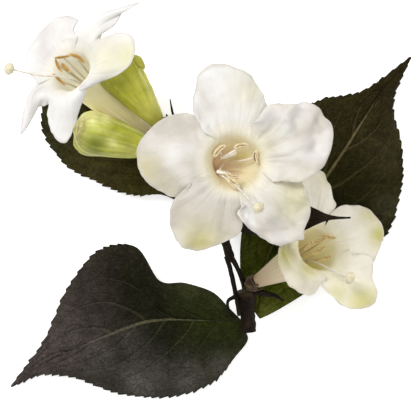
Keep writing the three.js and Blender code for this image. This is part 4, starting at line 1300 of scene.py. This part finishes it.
def add_calyx(name, finish, foot, axis, body_radius, sepals, seed):
    """A ribbed cup with pointed sepals that hug the tube or bud, and the seat for its stalk."""
    base = foot - axis * (CALYX_HEIGHT + CALYX_DROP)
    SEATS[name] = (base, axis)
    bm = new_mesh()
    sepal_radius = body_radius + SEPAL_CLEARANCE
    cup_radius = sepal_radius + CALYX_WALL
    cup = outline(CALYX_PROFILE)
    path = by_length(lambda share: base + axis * (CALYX_HEIGHT * share))[0]
    rod(bm, path, lambda share: cup_radius * cup(share).x, sides=30, steps=14, lumps=0.05)
    side = axis.orthogonal().normalized()
    for index in range(SEPALS):
        out = Quaternion(axis, math.tau * index / SEPALS) @ side
        points = []
        for share in (0.0, 0.3, 0.6, 0.85, 1.0):
            lean = CALYX_SPREAD * share + 0.18 * share * share + 0.12 * ripple(index, share, seed, 0.5)
            rise = CALYX_HEIGHT - 0.6 + sepals * share
            points.append(base + axis * rise + out * (sepal_radius + lean))
        rod(bm, spline(points), lambda share: SEPAL_HALF_WIDTH * (1 - share) ** 0.7 + 0.05,
            sides=14, steps=14, flatten=0.4, facing=out, tint_at=lambda share: 0.6 * share)
    deal(bm, f"{name}_calyx", (finish,))


for name, flower in FLOWERS.items():
    skins = [f"{flower['finish']}_{face}" for face in ("outside", "inside")]
    deal(corolla(flower), f"{name}_corolla", skins, PETAL_SKIN, 1)
    deal(style(flower), f"{name}_style", ("style",))
    for number, detail in enumerate(flower["anthers"], start=1):
        deal(stamen(flower, detail), f"{name}_stamen_{number}", (flower["anther"],))
    line = tube_line(flower, (0, 0, 0))[0]
    axis = (flower_frame(flower).to_3x3() @ heading(line, 0.0)).normalized()
    add_calyx(name, flower["cup"], Vector(flower["foot"]), axis, flower["tube"][0][0],
              flower["sepals"], seed=len(name))

# ---- buds ----------------------------------------------------------------------------------------


def flap_thickness(share):
    """Half the thickness of a flap, rounded off at both ends."""
    return FLAP_RADIUS * math.sqrt(max(1 - (2 * share - 1) ** 2, 0.02))


def bud_body(bud, seed):
    """A closed bud: five petals folded over each other show as soft lengthwise folds."""
    foot = Vector(bud["foot"])
    axis = Vector(bud["tip"]) - foot
    length = axis.length
    turn = Vector((0, 1, 0)).rotation_difference(axis.normalized())
    profile = outline(bud["stations"])
    bm = new_mesh()

    def rule(side, share):
        radius, along = profile(share)
        angle = side * math.pi
        y = along * length
        creases = math.cos(BUD_FOLDS * angle + y * 0.5 + seed)
        ridge = 1 + bud["ridges"] * math.cos(BUD_PETALS * angle + y * 0.12) * smooth(along)
        folds = 0.02 * creases * smooth(along * 1.5) * smooth((1 - along) * 4)
        lap = ((angle / math.tau * BUD_PETALS + along * 0.5) % 1.0) ** 3 * 0.1 * smooth(along * 1.4)
        radius = max(radius, 0.0) * (ridge + folds + lap)
        spot = Vector((math.cos(angle) * radius, y, math.sin(angle) * radius))
        if radius > 0.3:
            spot += spot.normalized() * (0.3 * ripple(spot.x, spot.y * 0.45, spot.z, 2.0, seed))
        here = foot + turn @ spot
        # painted shade in the furrows between the folds; the darker places join it in the tint mask, and the
        # highlighted places go in the tone mask
        furrow_shade = 0.25 * smooth(-creases * 0.8)
        return here, max(furrow_shade, spots(here, bud["darks"])), spots(here, bud["lights"])

    patch(bm, BUD_COLUMNS, BUD_ROWS, rule)
    bmesh.ops.remove_doubles(bm, verts=bm.verts, dist=2e-3)
    if bud["flap"]:
        # the flap takes the pale colour, its own lighter green, with the painted glowing that comes with it
        rod(bm, spline(bud["flap"]), flap_thickness, sides=20, steps=24, lumps=0.2, flatten=0.7,
            tone=0.55)
    return bm


for index, (name, bud) in enumerate(BUDS.items()):
    deal(bud_body(bud, index + 1.0), name, (name,))
    foot = Vector(bud["foot"])
    axis = (Vector(bud["tip"]) - foot).normalized()
    add_calyx(name, "calyx", foot, axis, bud["foot_radius"], BUD_SEPALS, seed=index + 3.0)

# ---- stems ---------------------------------------------------------------------------------------


def shoot_thickness(share):
    """A short stalk or petiole, a little thinner in its middle."""
    return SHOOT_RADIUS - 0.12 * math.sin(math.pi * share)


for name, stem in STEMS.items():
    thick, thin = stem["radii"]

    def radius_at(share):
        radius = thick + (thin - thick) * share
        for place, size, amount in stem["swell"]:
            radius += thick * amount * math.exp(-(((share - place) / size) ** 2))
        return radius

    def paler_at_fork(share):
        return 0.8 * smooth((share - 0.86) / 0.14) if name == "stem_main" else 0.0

    bm = new_mesh()
    path = by_length(spline(stem["path"]))[0]
    rod(bm, path, radius_at, sides=20, steps=40, lumps=0.14, tint_at=paler_at_fork)
    shoots = [*stem.get("shoots", [])]
    for borne, share in stem.get("bears", {}).items():
        seat, axis = SEATS[borne]
        shoots.append([path(share), seat - axis * 1.5, seat + axis * 0.4])
    for shoot in shoots:
        rod(bm, spline(shoot), shoot_thickness, sides=14, steps=20, lumps=0.14)
    deal(bm, name, ("bark",), sharp=math.radians(70))

# ---- floor, light and camera -----------------------------------------------------------------------

SENSOR = 36.0
CAMERA_DISTANCE = 1500.0
VIEW_WIDTH = 83.0
CAMERA_PLACE = Vector((0.0, -0.2, 1518.0))


def stage_floor():
    """A plain pale floor under the sprig."""
    bm = bmesh.new()
    bmesh.ops.create_grid(bm, x_segments=1, y_segments=1, size=2.0)
    mesh = bpy.data.meshes.new("floor")
    bm.to_mesh(mesh)
    bm.free()
    floor = bpy.data.objects.new("floor", mesh)
    bpy.context.scene.collection.objects.link(floor)
    Finish("pale_floor", Roughness=0.9, Base_Color=(0.9, 0.9, 0.9, 1.0),
           Emission_Color=(1.0, 1.0, 1.0, 1.0), Emission_Strength=0.55)
    mesh.materials.append(FINISHES["pale_floor"])


def soft_light(name, place, power, size):
    """A square area light that points at the middle of the floor."""
    lamp = bpy.data.lights.new(name, "AREA")
    lamp.energy = power
    lamp.size = size
    light = bpy.data.objects.new(name, lamp)
    light.location = place
    light.rotation_euler = (-Vector(place)).to_track_quat("-Z", "Y").to_euler()
    bpy.context.scene.collection.objects.link(light)


stage_floor()
soft_light("window_light", (-0.5, 0.5, 0.9), power=9.0, size=0.5)
soft_light("fill_light", (0.6, -0.2, 1.1), power=4.2, size=0.8)

world = bpy.data.worlds.new("studio")
world.use_nodes = True
backdrop = world.node_tree.nodes["Background"].inputs
backdrop["Color"].default_value = (1.0, 1.0, 1.0, 1.0)
backdrop["Strength"].default_value = 0.42
bpy.context.scene.world = world
bpy.context.scene.view_settings.view_transform = "Standard"

lens = bpy.data.cameras.new("camera")
lens.sensor_width = SENSOR
lens.lens = SENSOR * CAMERA_DISTANCE / VIEW_WIDTH
lens.clip_start = 0.1
lens.clip_end = 10.0
camera = bpy.data.objects.new("camera", lens)
camera.location = TO_ROW @ CAMERA_PLACE
bpy.context.scene.collection.objects.link(camera)
bpy.context.scene.camera = camera
